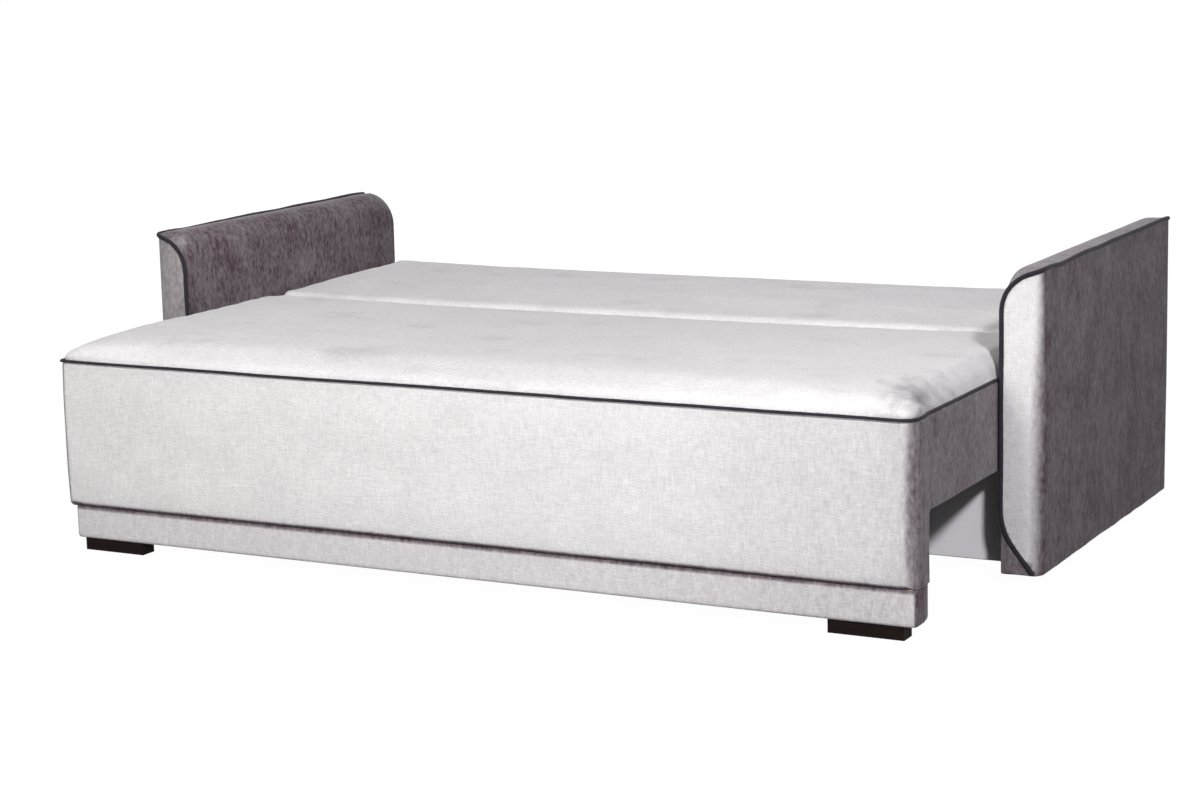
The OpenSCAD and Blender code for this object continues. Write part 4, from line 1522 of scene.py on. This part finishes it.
    def cord_line(self) -> np.ndarray:
        """Draws the piping's route for the right arm: outer bottom, inner edge, top and back.

        Returns:
            The route's points.
        """
        c, a = self.cord_in, math.radians(self.bend_angle)
        reach = 0.020  # Radius of the corner from the front to the outer top edge.
        bend = [(c + self.bend_radius * (1 - math.cos(t)), self.bend_z - self.bend_radius * math.sin(t))
                for t in np.linspace(a, 0.0, 9)]
        start_z = self.low + SIZES.cord_radius
        low_x, low_z = bend[0]
        foot = (low_x + (low_z - start_z) * math.tan(a), start_z)
        front = [(foot[0] + (low_x - foot[0]) * i / 6, foot[1] + (low_z - foot[1]) * i / 6) for i in range(6)]
        front += bend
        roll, centre, slope = self.roll(0.0), self.roll_centre(0.0), self.slope(0.0)
        front += [(c, float(z)) for z in np.linspace(self.bend_z, centre, 24)[1:]]
        for t in np.linspace(math.pi, math.pi / 2 + slope, 13)[1:]:
            front.append((roll + (roll - c) * math.cos(t), centre + (roll - c) * math.sin(t)))
        edge_x = self.thickness - 2.0 * c
        last = front[-1]
        for i in range(1, 5):
            x = last[0] + (edge_x - reach - last[0]) * i / 4
            front.append((x, last[1] + (x - last[0]) * math.tan(slope)))
        route = [(x, c, z) for x, z in front]
        edge_z = last[1] + (edge_x - last[0]) * math.tan(slope)
        for i in range(1, 6):
            t = math.pi / 2 * i / 5
            route.append((edge_x - reach + reach * math.sin(t), c + reach * (1 - math.cos(t)),
                          edge_z - math.tan(slope) * reach * (1 - math.sin(t))))
        end_z = self.top(SIZES.arm_depth) - self.cord_in * 0.3
        for y in np.linspace(c + reach + 0.006, SIZES.arm_depth - self.seam_in, 70):
            route.append((edge_x, float(y), edge_z + (end_z - edge_z) * self.share(float(y))))
        return np.array(route) + np.array([SIZES.half, -SIZES.shift, 0.0])

    def wander(self, points: np.ndarray) -> np.ndarray:
        """Moves a route a little, as hand-sewn piping wanders.

        Args:
            points: The route.

        Returns:
            The route as it is sewn.
        """
        cells, seed = (9.0, 1.0, 1.0), self.pick(self.cord_seeds)
        dip_depth, dip_place, dip_reach, end_drop = 0.0022, 0.14, 0.07, 0.0025
        aside_front, aside_top = 0.0010, 0.0012
        made = points.copy()
        along = np.concatenate([[0.0], np.cumsum(np.linalg.norm(np.diff(points, axis=0), axis=1))])
        track = np.column_stack([along, np.zeros(len(along)), np.zeros(len(along))])
        free = np.minimum(1.0, along / 0.05)
        top = smooth_step(0.60, 0.645, points[:, 2])
        dip = dip_depth * np.exp(-((points[:, 1] - SIZES.y(dip_place)) / dip_reach) ** 2)
        end = np.clip((points[:, 1] - SIZES.y(SIZES.arm_depth - 0.05)) / 0.04, 0.0, 1.0)
        made[:, 2] += (Waves(0.0026, cells, 2, seed).at(track) - dip) * top * (1.0 - end)
        made[:, 2] -= end_drop * end ** 2
        aside = Waves(1.0, cells, 2, seed + 5.0).at(track)
        made[:, 0] += (aside_front * (1 - top) * free - aside_top * top) * aside
        return made

    def build(self, finishes: Finishes, piping: "Piping") -> None:
        """Makes the arm and its piping and hands them over.

        Args:
            finishes: The bed's materials.
            piping: The maker of the cords.
        """
        word = self.side.word
        piece = loft("arm_" + word, self.sections())
        piece.data.flip_normals()
        self.shape(piece)
        self.set_nap_and_shade(piece)
        route = self.wander(self.cord_line())
        if self.side is Side.LEFT:
            self.mirror(piece)
            route[:, 0] *= -1.0
        finishes.hand_over(piece, "base", "upholstery", ("arm_cover_" + word,))
        piping.build("arm_cord_" + word, route, "base", ("arm_piping_" + word,), finishes)

    def shape(self, piece: bpy.types.Object) -> None:
        """Adds the padding's unevenness and the pulls along the seams.

        Args:
            piece: The arm.
        """
        side_swell, hem_depth, drawn_in = 0.0035, 0.018, 0.0009
        seam_z, seam_reach = 0.655, 0.03
        points, normals = get_points(piece), get_normals(piece)
        seed = self.pick(self.seeds)
        uneven = Waves(0.0011, self.uneven_cells, 2, seed).at(points)
        out = points[:, 0] - SIZES.half
        seam = np.exp(-np.abs(points[:, 2] - seam_z) / seam_reach) * smooth_step(0.05, 0.085, out)
        hem = np.exp(-(points[:, 2] - self.low) / hem_depth)
        pulls = (seam + hem) * Waves(0.0010, (20.0, 22.0, 8.0), 2, seed + 4.0).at(points)
        full = np.array([self.fullness(y + SIZES.shift) for y in points[:, 1]])
        side = np.sin(np.pi * np.clip((points[:, 2] - 0.10) / 0.5, 0.0, 1.0)) * smooth_step(0.080, 0.086, out)
        points[:, 0] += side_swell * side * full
        across = np.sin(np.pi * np.clip(out / self.thickness, 0, 1))
        points[:, 2] += self.crown * full * across * (normals[:, 2] > 0.3)
        points += normals * (uneven + pulls - drawn_in)[:, None]
        points[:, 2] += hem * Waves(0.0022, (30.0, 12.0, 0.0), 2, seed + 9.0).at(points)
        set_points(piece, points)

    def set_nap_and_shade(self, piece: bpy.types.Object) -> None:
        """Turns the wrapped strip dark and the end panels lighter, as nap with painted shade.

        Args:
            piece: The arm.
        """
        points, normals = get_points(piece), get_normals(piece)
        facing = np.abs(normals[:, 1])
        blur = self.blur.at(points)
        # The strip's dark nap is partly painted shade.
        dark = self.pick(self.strip_naps_and_shades) - self.pick(self.strip_fades) * points[:, 2]
        strip = dark * (1.0 - smooth_step(0.30, 0.92, facing + 0.20 * blur))
        out = points[:, 0] - SIZES.half
        front = normals[:, 1] < -0.3
        bend = self.bend_z - points[:, 2]
        line = self.cord_in + np.where(bend > 0, bend ** 2 / (2 * self.bend_radius) * 1.15, 0.0)
        fold = front & (bend > 0) & (out < line + 0.002)
        if self.side is Side.RIGHT:
            wrap = self.wrap_x + self.wrap_lean * smooth_step(0.40, 0.62, points[:, 2]) + 0.004 * blur
            strip = np.maximum(strip, dark * smooth_step(-0.014, 0.018, out - wrap) * front)
            # Painted light: the right arm's top is set paler than its strip.
            strip = np.where(normals[:, 2] > 0.5, self.top_nap_and_light, strip)
        # Painted shade: the left arm's front panel is darkened for its dimmer light.
        nap = np.maximum(strip, self.pick(self.panel_naps_and_shades) * facing)
        set_attribute(piece, "nap", np.where(fold, self.fold_nap, nap))

    @staticmethod
    def mirror(piece: bpy.types.Object) -> None:
        """Mirrors a mesh to the left and keeps its faces pointing outwards.

        Args:
            piece: The mesh object.
        """
        points = get_points(piece)
        points[:, 0] *= -1.0
        set_points(piece, points)
        piece.data.flip_normals()


class LineTree:
    """A Geometry Nodes tree that turns a line of edges into a plain dressed mesh, with named inputs."""

    def __init__(self, name: str, sizes: dict[str, float], material: bpy.types.Material) -> None:
        """Starts the tree with its inputs.

        Args:
            name: The tree's name.
            sizes: Its number inputs, with the values that they have unless told otherwise.
            material: The finished mesh's material.
        """
        self.tree = bpy.data.node_groups.new(name, "GeometryNodeTree")
        self.material = material
        self.sizes = sizes
        face = self.tree.interface
        face.new_socket("Line", in_out="INPUT", socket_type="NodeSocketGeometry")
        self.keys: dict[str, str] = {}
        for size, value in sizes.items():
            kind = "NodeSocketInt" if isinstance(value, int) else "NodeSocketFloat"
            self.keys[size] = face.new_socket(size, in_out="INPUT", socket_type=kind).identifier
        face.new_socket("Mesh", in_out="OUTPUT", socket_type="NodeSocketGeometry")
        self.given = self.add("NodeGroupInput", {}).outputs

    def add(self, kind: str, inputs: dict[str | int, object], **settings: str) -> bpy.types.Node:
        """Adds a node to the tree, as add_node does."""
        return add_node(self.tree, kind, inputs, **settings)

    def end(self, geometry: bpy.types.NodeSocket) -> None:
        """Ends the tree with Realize Instances and Set Material.

        Args:
            geometry: The geometry that the tree has made.
        """
        realize = self.add("GeometryNodeRealizeInstances", {"Geometry": geometry})
        paint = self.add("GeometryNodeSetMaterial",
                         {"Geometry": realize.outputs[0], "Material": self.material})
        self.add("NodeGroupOutput", {"Mesh": paint.outputs[0]})

    def grow(self, name: str, line: np.ndarray, closed: bool = False, **sizes: float) -> bpy.types.Object:
        """Turns one line into a plain mesh.

        Args:
            name: The piece's name.
            line: The line's points.
            closed: Whether its end joins its start.
            **sizes: Values for named inputs.

        Returns:
            The new object.
        """
        count = len(line)
        mesh = bpy.data.meshes.new(name)
        edges = [(i, (i + 1) % count) for i in range(count if closed else count - 1)]
        mesh.from_pydata([tuple(p) for p in line], edges, [])
        piece = bpy.data.objects.new(name, mesh)
        bpy.context.scene.collection.objects.link(piece)
        modifier = piece.modifiers.new("tree", "NODES")
        modifier.node_group = self.tree
        for size, value in (self.sizes | sizes).items():
            modifier[self.keys[size]] = value
        freeze(piece)
        return piece


class Piping(LineTree):
    """Cloth-covered cords, swept along their routes."""

    uneven: Waves = Waves(0.00035, (90.0, 90.0, 90.0), 2, 14.0)

    def __init__(self, finishes: Finishes) -> None:
        """Builds the tree: a round cord along the line.

        Args:
            finishes: The bed's materials.
        """
        sizes = {"Radius": SIZES.cord_radius, "Spacing": 0.006, "Sides": 14}
        super().__init__("piping_cord", sizes, finishes.by_slot["piping"])
        curve = self.add("GeometryNodeMeshToCurve", {"Mesh": self.given["Line"]})
        even = self.add("GeometryNodeResampleCurve",
                        {"Curve": curve.outputs["Curve"], "Length": self.given["Spacing"]}, mode="LENGTH")
        circle = self.add("GeometryNodeCurvePrimitiveCircle",
                          {"Radius": self.given["Radius"], "Resolution": self.given["Sides"]})
        sweep = self.add("GeometryNodeCurveToMesh", {
            "Curve": even.outputs["Curve"], "Profile Curve": circle.outputs["Curve"], "Fill Caps": True})
        self.end(sweep.outputs["Mesh"])

    def build(self, name: str, route: np.ndarray, body: str, nodes: Sequence[str], finishes: Finishes,
              radius: float = SIZES.cord_radius) -> None:
        """Sweeps one cord and hands it over.

        Args:
            name: The piece's name.
            route: The cord's centre line.
            body: The body that it rides on.
            nodes: The solids that it stands for.
            finishes: The bed's materials.
            radius: The cord's radius.
        """
        piece = self.grow(name, route, Radius=radius)
        points, normals = get_points(piece), get_normals(piece)
        set_points(piece, points + normals * self.uneven.at(points)[:, None])
        finishes.hand_over(piece, body, "piping", nodes)


def seat_cord_route() -> np.ndarray:
    """Draws the route of the seat's piping: along the left end, the front and the right end.

    Returns:
        The route's points.
    """
    inset, proud, end_in = 0.0030, 0.0035, 0.028
    y, z = SIZES.y(SIZES.seat_front) + proud, SIZES.cord_z
    r_left, r_right = SIZES.left_corner - inset, SIZES.seat_corner - inset
    rear = SIZES.y(SIZES.seat_rear) - end_in
    left = -SIZES.seat_half - SIZES.flare_left + inset
    right = SIZES.seat_half + SIZES.flare_right - inset
    turns = np.linspace(0.0, 0.5 * math.pi, 9)[1:-1]
    route = [(-SIZES.seat_half - SIZES.flare(-1, d) + inset, d, z) for d in np.linspace(rear, y + r_left, 70)]
    route += [(left + r_left - r_left * math.cos(a), y + r_left - r_left * math.sin(a), z) for a in turns]
    route += [(float(d), y, z) for d in np.linspace(left + r_left, right - r_right, 160)]
    route += [(right - r_right + r_right * math.sin(a), y + r_right - r_right * math.cos(a), z)
              for a in turns]
    route += [(SIZES.seat_half + SIZES.flare(1, d) - inset, d, z) for d in np.linspace(y + r_right, rear, 70)]
    points = np.array(route)
    points[:, 2] += Waves(0.0016, (5.0, 5.0, 0.0), 2, 51.0).at(points)
    return points


@dataclass
class SeatSection:
    """The part that is drawn forward: mattress, cover, plinth and piping."""

    mattress: SeatMattress = field(default_factory=SeatMattress)
    cover: SeatCover = field(default_factory=SeatCover)
    plinth: Plinth = field(default_factory=Plinth)
    cord_radius: float = 0.0031

    def build(self, finishes: Finishes, piping: Piping) -> None:
        """Makes the section's soft pieces.

        Args:
            finishes: The bed's materials.
            piping: The maker of the cords.
        """
        self.mattress.build(finishes)
        self.cover.build(finishes)
        self.plinth.build(finishes)
        piping.build("seat_cord", seat_cord_route(), "seat", ("seat_piping",), finishes, self.cord_radius)


@dataclass
class BackSection:
    """The part that lies flat behind the seat and stands up as the backrest."""

    mattress: BackMattress = field(default_factory=BackMattress)

    def build(self, finishes: Finishes) -> None:
        """Makes the back's mattress."""
        self.mattress.build(finishes)


@dataclass
class Band:
    """A flat padded strip of cover, such as the seat's rear band and the base's rear cover.

    Attributes:
        name: The piece's name.
        node: The solid that it stands for.
        body: The body that it rides on.
        nap: How dark it is: darker nap, partly painted shade.
        drawn_in: How far its faces are drawn in for the padding.
    """

    name: str
    node: str
    body: str
    nap: float = 0.75
    voxel: float = 0.006
    drawn_in: float = 0.0006
    uneven: Waves = Waves(0.0006, (9.0, 9.0, 9.0), 2, 2.5)

    def build(self, finishes: Finishes) -> None:
        """Makes the strip from its solid's own outline, with softened edges.

        Args:
            finishes: The bed's materials.
        """
        piece = bpy.data.objects.new(self.name, frame["nodes"][self.node].data.copy())
        bpy.context.scene.collection.objects.link(piece)
        weld = piece.modifiers.new("weld", "WELD")
        weld.merge_threshold = 1e-5
        freeze(piece)
        remesh(piece, self.voxel)
        points, normals = get_points(piece), get_normals(piece)
        set_points(piece, points + normals * (self.uneven.at(points) - self.drawn_in)[:, None])
        # The strip is darkened evenly: darker nap, partly painted shade.
        set_attribute(piece, "nap", np.full(len(points), self.nap))
        finishes.hand_over(piece, self.body, "upholstery_sides", (self.node,))


@dataclass
class DustCover:
    """A thin black cloth stapled under a frame, which hangs a little between its edges.

    Attributes:
        name: The piece's name.
        node: The solid that it stands for.
        body: The body that it rides on.
        rests_on: The frame pieces that it is stapled to; not used.
        sag: How far it hangs in its middle.
        gaps: Boxes in X and Y that are cut out, on the right; the left has their mirror images.
        upright: Whether it stands behind the apron instead of lying under a frame.
        cell: Size of the mesh's cells.
        wall: The cloth's thickness.
        drop: How far below its solid's upper face it lies.
        hang_reach: Depth over which it comes to hang, from its edge.
        wave_reach: Depth over which its waves set in.
    """

    name: str
    node: str
    body: str
    rests_on: tuple[str, ...]
    sag: float
    gaps: tuple[tuple[float, float, float, float], ...] = ()
    upright: bool = False
    cell: float = 0.016
    wall: float = 0.0008
    drop: float = 0.0
    hang_reach: float = 0.12
    wave_reach: float = 0.05
    waves: Waves = Waves(0.0007, (5.0, 9.0, 1.0), 2, 31.0)

    def sheet(self) -> tuple[np.ndarray, tuple[float, float]]:
        """Lays the cloth out.

        Returns:
            The cloth's points by row and column, and its flat size.
        """
        low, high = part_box(self.node)
        across = np.linspace(low.x, high.x, int((high.x - low.x) / self.cell) + 1)
        near, far = (low.z, high.z) if self.upright else (low.y, high.y)
        along = np.linspace(near, far, int((far - near) / self.cell) + 1)
        u, v = np.meshgrid(across, along)
        edge = np.minimum(np.minimum(u - low.x, high.x - u), np.minimum(v - near, far - v))
        waves = self.waves.at(np.column_stack([u.ravel(), v.ravel(), 0 * u.ravel()])).reshape(u.shape)
        hang = self.sag * smooth_step(0.0, self.hang_reach, edge)
        hang = hang + waves * smooth_step(0.0, self.wave_reach, edge)
        if self.upright:
            points = np.stack([u, high.y + 0.0 * u - hang, v], axis=2)
        else:
            points = np.stack([u, v, high.z - self.wall - self.drop - hang], axis=2)
        return points, (high.x - low.x, far - near)

    def build(self, finishes: Finishes) -> np.ndarray:
        """Makes the cloth and hands it over.

        Args:
            finishes: The bed's materials.

        Returns:
            The closed line along which it is stapled.
        """
        points, flat = self.sheet()

        def whole(row: int, col: int) -> bool:
            """Returns whether a cell lies outside every gap."""
            x, y = points[row:row + 2, col:col + 2, :2].reshape(-1, 2).mean(0)
            return not any(x0 < abs(x) < x1 and y0 < y < y1 for x0, x1, y0, y1 in self.gaps)

        piece = grid_skin(self.name, points, whole, flipped=not self.upright)
        thicken(piece, self.wall, outwards=True)
        finishes.hand_over(piece, self.body, "felt", (self.node,))
        inner = points[1:-1, 1:-1].copy()
        if not self.upright:
            inner[:, :, 2] -= self.wall
        return np.concatenate([inner[0], inner[1:, -1], inner[-1, -2::-1], inner[-2:0:-1, 0]])


class Staples(LineTree):
    """Wire staples along the edge of a dust cover."""

    def __init__(self, finishes: Finishes) -> None:
        """Builds the tree: staples at even distances along the line, each turned a little.

        Args:
            finishes: The bed's materials.
        """
        sizes = {"Spacing": 0.058, "Length": 0.0105, "Wire": 0.0007, "Scatter": 0.5}
        super().__init__("staple_row", sizes, finishes.by_slot["steel"])
        given = self.given
        curve = self.add("GeometryNodeMeshToCurve", {"Mesh": given["Line"]})
        spots = self.add("GeometryNodeCurveToPoints",
                         {"Curve": curve.outputs["Curve"], "Length": given["Spacing"]}, mode="LENGTH")
        size = self.add("ShaderNodeCombineXYZ",
                        {"X": given["Length"], "Y": given["Wire"], "Z": given["Wire"]})
        wire = self.add("GeometryNodeMeshCube", {"Size": size.outputs["Vector"]})
        minus = self.add("ShaderNodeMath", {0: given["Scatter"], 1: -1.0}, operation="MULTIPLY")
        angle = self.add("FunctionNodeRandomValue", {"Seed": 7}, data_type="FLOAT")
        for socket, value in (("Min", minus.outputs[0]), ("Max", given["Scatter"])):
            self.tree.links.new(value, angle.inputs[socket])
        turn = self.add("ShaderNodeCombineXYZ", {"Z": angle.outputs["Value"]})
        row = self.add("GeometryNodeInstanceOnPoints", {
            "Points": spots.outputs["Points"], "Instance": wire.outputs["Mesh"],
            "Rotation": turn.outputs["Vector"]})
        self.end(row.outputs["Instances"])

    def build(self, name: str, line: np.ndarray, body: str, finishes: Finishes) -> None:
        """Sets staples along a line on one body and hands them over.

        Args:
            name: The piece's name.
            line: The closed line that they follow.
            body: The body that they ride on.
            finishes: The bed's materials.
        """
        piece = self.grow(name, line, closed=True)
        piece.data.polygons.foreach_set("use_smooth", np.zeros(len(piece.data.polygons), bool))
        finishes.hand_over(piece, body, "steel")


# Studio


@dataclass(frozen=True)
class Lamp:
    """A square softbox that faces a point; its power is in watts."""

    name: str
    place: tuple[float, float, float]
    aim: tuple[float, float, float]
    size: float
    power: float
    colour: tuple[float, float, float] = (1.0, 1.0, 1.0)

    def build(self) -> None:
        """Makes the softbox."""
        data = bpy.data.lights.new(self.name, "AREA")
        data.shape = "SQUARE"
        data.size = self.size
        data.energy = self.power
        data.color = self.colour
        lamp = bpy.data.objects.new(self.name, data)
        bpy.context.scene.collection.objects.link(lamp)
        lamp.location = self.place
        lamp.rotation_euler = (Vector(self.aim) - Vector(self.place)).to_track_quat("-Z", "Y").to_euler()


@dataclass
class Studio:
    """Camera, softboxes, floor and background.

    Attributes:
        yaw: How far the camera is turned to the left, in degrees, as pitch and roll are.
        focal_pixels: Its focal length, in pixels of a frame of frame_width.
        fill: Strength of the even light.
        floor_reach: How far the floor reaches from the middle.
        floor_white: Distances at which the floor's white starts to rise and has risen, and its levels.
        floor_share: Share of that white that the camera sees; the rest keeps the shadow.
    """

    place: tuple[float, float, float] = (2.6848, -5.0820, 1.3294)
    yaw: float = 28.07
    pitch: float = -10.31
    roll: float = -1.40
    focal_pixels: float = 2583.3
    frame_width: int = 1200
    sensor: float = 36.0
    fill: float = 0.018
    floor_reach: float = 14.0
    floor_white: tuple[float, float, float, float] = (1.6, 3.6, 1.40, 1.46)
    floor_share: float = 0.70
    lamps: tuple[Lamp, ...] = (
        Lamp("top_box", (0.1, -1.3, 3.7), (0.1, -0.1, 0.3), 3.0, 44.0),
        Lamp("front_box", (-0.2, -3.6, 1.8), (-0.05, -0.5, 0.3), 1.4, 77.0, (1.0, 0.985, 0.965)),
        Lamp("main_box", (3.85, -4.42, 3.25), (0.9, -0.2, 0.3), 0.42, 285.0, (0.98, 0.965, 1.0)),
        Lamp("side_box", (3.3, -3.6, 2.2), (0.9, -0.2, 0.4), 1.6, 8.0, (0.98, 0.965, 1.0)),
        Lamp("rear_box", (-1.6, 5.0, 2.6), (0.0, 0.4, 0.3), 2.0, 80.0),
    )

    def camera(self) -> None:
        """Places the camera as the photograph was taken."""
        data = bpy.data.cameras.new("camera")
        data.sensor_width = self.sensor
        data.lens = self.focal_pixels / self.frame_width * self.sensor
        camera = bpy.data.objects.new("camera", data)
        bpy.context.scene.collection.objects.link(camera)
        yaw, pitch, roll = (math.radians(a) for a in (self.yaw, self.pitch, self.roll))
        ahead = Vector((-math.sin(yaw) * math.cos(pitch), math.cos(yaw) * math.cos(pitch), math.sin(pitch)))
        level = Vector((math.cos(yaw), math.sin(yaw), 0.0))
        upright = level.cross(ahead)
        right = math.cos(roll) * level + math.sin(roll) * upright
        up = -math.sin(roll) * level + math.cos(roll) * upright
        turn = Matrix((right, up, -ahead)).transposed().to_4x4()
        camera.matrix_world = Matrix.Translation(self.place) @ turn
        bpy.context.scene.camera = camera

    def world(self) -> None:
        """Lights the scene evenly, and shows white to the camera and in reflections."""
        world = bpy.data.worlds.new("studio")
        bpy.context.scene.world = world
        world.use_nodes = True
        tree = world.node_tree
        back = tree.nodes["Background"]
        back.inputs["Color"].default_value = (1.0, 1.0, 1.0, 1.0)
        level = add_node(tree, "ShaderNodeMapRange",
                         {"To Min": self.fill, "To Max": 1.0, "Value": self.seen(tree)})
        tree.links.new(level.outputs["Result"], back.inputs["Strength"])

    @staticmethod
    def seen(tree: bpy.types.NodeTree) -> bpy.types.NodeSocket:
        """Tells rays from the camera, mirrors and clear surfaces from the others.

        Args:
            tree: The node tree that asks.

        Returns:
            1 for those rays, and otherwise 0.
        """
        path = add_node(tree, "ShaderNodeLightPath", {}).outputs
        level = path["Is Camera Ray"]
        for kind in ("Is Glossy Ray", "Is Transmission Ray"):
            either = add_node(tree, "ShaderNodeMath", {0: level, 1: path[kind]}, operation="MAXIMUM")
            level = either.outputs[0]
        return level

    def floor(self) -> None:
        """Makes a white floor that keeps a pale shadow."""
        r = self.floor_reach
        plane = make_mesh("floor", np.array([(-r, -r, 0), (r, -r, 0), (r, r, 0), (-r, r, 0)]), [(0, 1, 2, 3)])
        paint = Shader("studio_floor")
        paint.set(base_color=(0.06, 0.06, 0.06, 1.0), roughness=0.9)
        away = add_node(paint.tree, "ShaderNodeVectorMath", {0: paint.coords}, operation="LENGTH")
        level = paint.spread(away.outputs["Value"], *self.floor_white)
        white = add_node(paint.tree, "ShaderNodeEmission", {"Strength": level})
        share = paint.math("MULTIPLY", self.seen(paint.tree), self.floor_share)
        mix = add_node(paint.tree, "ShaderNodeMixShader",
                       {"Fac": share, 1: paint.surface.outputs[0], 2: white.outputs[0]})
        paint.tree.links.new(mix.outputs[0], paint.tree.nodes["Material Output"].inputs["Surface"])
        plane.data.materials.append(paint.material)

    def build(self) -> None:
        """Makes the whole studio."""
        self.camera()
        self.world()
        self.floor()
        for lamp in self.lamps:
            lamp.build()
        bpy.context.scene.view_settings.view_transform = "Standard"


def dress_solids(finishes: Finishes) -> None:
    """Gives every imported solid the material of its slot.

    Args:
        finishes: The bed's materials.
    """
    for part in frame["record"]["subparts"]:
        node = frame["nodes"][part["node"]]
        finishes.dress(node, part["material_slot"])


def main() -> None:
    """Builds the studio and the bed, piece by piece."""
    logging.basicConfig(level=logging.INFO, format="%(message)s")
    Studio().build()
    finishes = Finishes()
    dress_solids(finishes)
    piping = Piping(finishes)
    SeatSection().build(finishes, piping)
    BackSection().build(finishes)
    for side in Side:
        Arm(side).build(finishes, piping)
    Band("seat_rear_strip", "seat_rear_band", "seat").build(finishes)
    Band("base_rear_cloth", "base_rear_cover", "base").build(finishes)
    staples = Staples(finishes)
    frame_seat = ("seat_side_rails", "seat_cross_rails")
    frame_back = ("back_side_rails", "back_cross_rails")
    brackets = ((0.926, 0.937, -1.0, SIZES.y(0.407)),)
    for cover in (DustCover("seat_lining", "seat_dust_cover", "seat", frame_seat, 0.003),
                  DustCover("back_lining", "back_dust_cover", "back", frame_back, 0.0002, brackets,
                            wall=0.0005, drop=0.0026),
                  DustCover("apron_lining", "apron_back", "seat", ("apron_posts", "apron_rails"), 0.002,
                            upright=True)):
        staples.build(cover.name + "_staples", cover.build(finishes), cover.body, finishes)


if __name__ == "__main__":
    main()
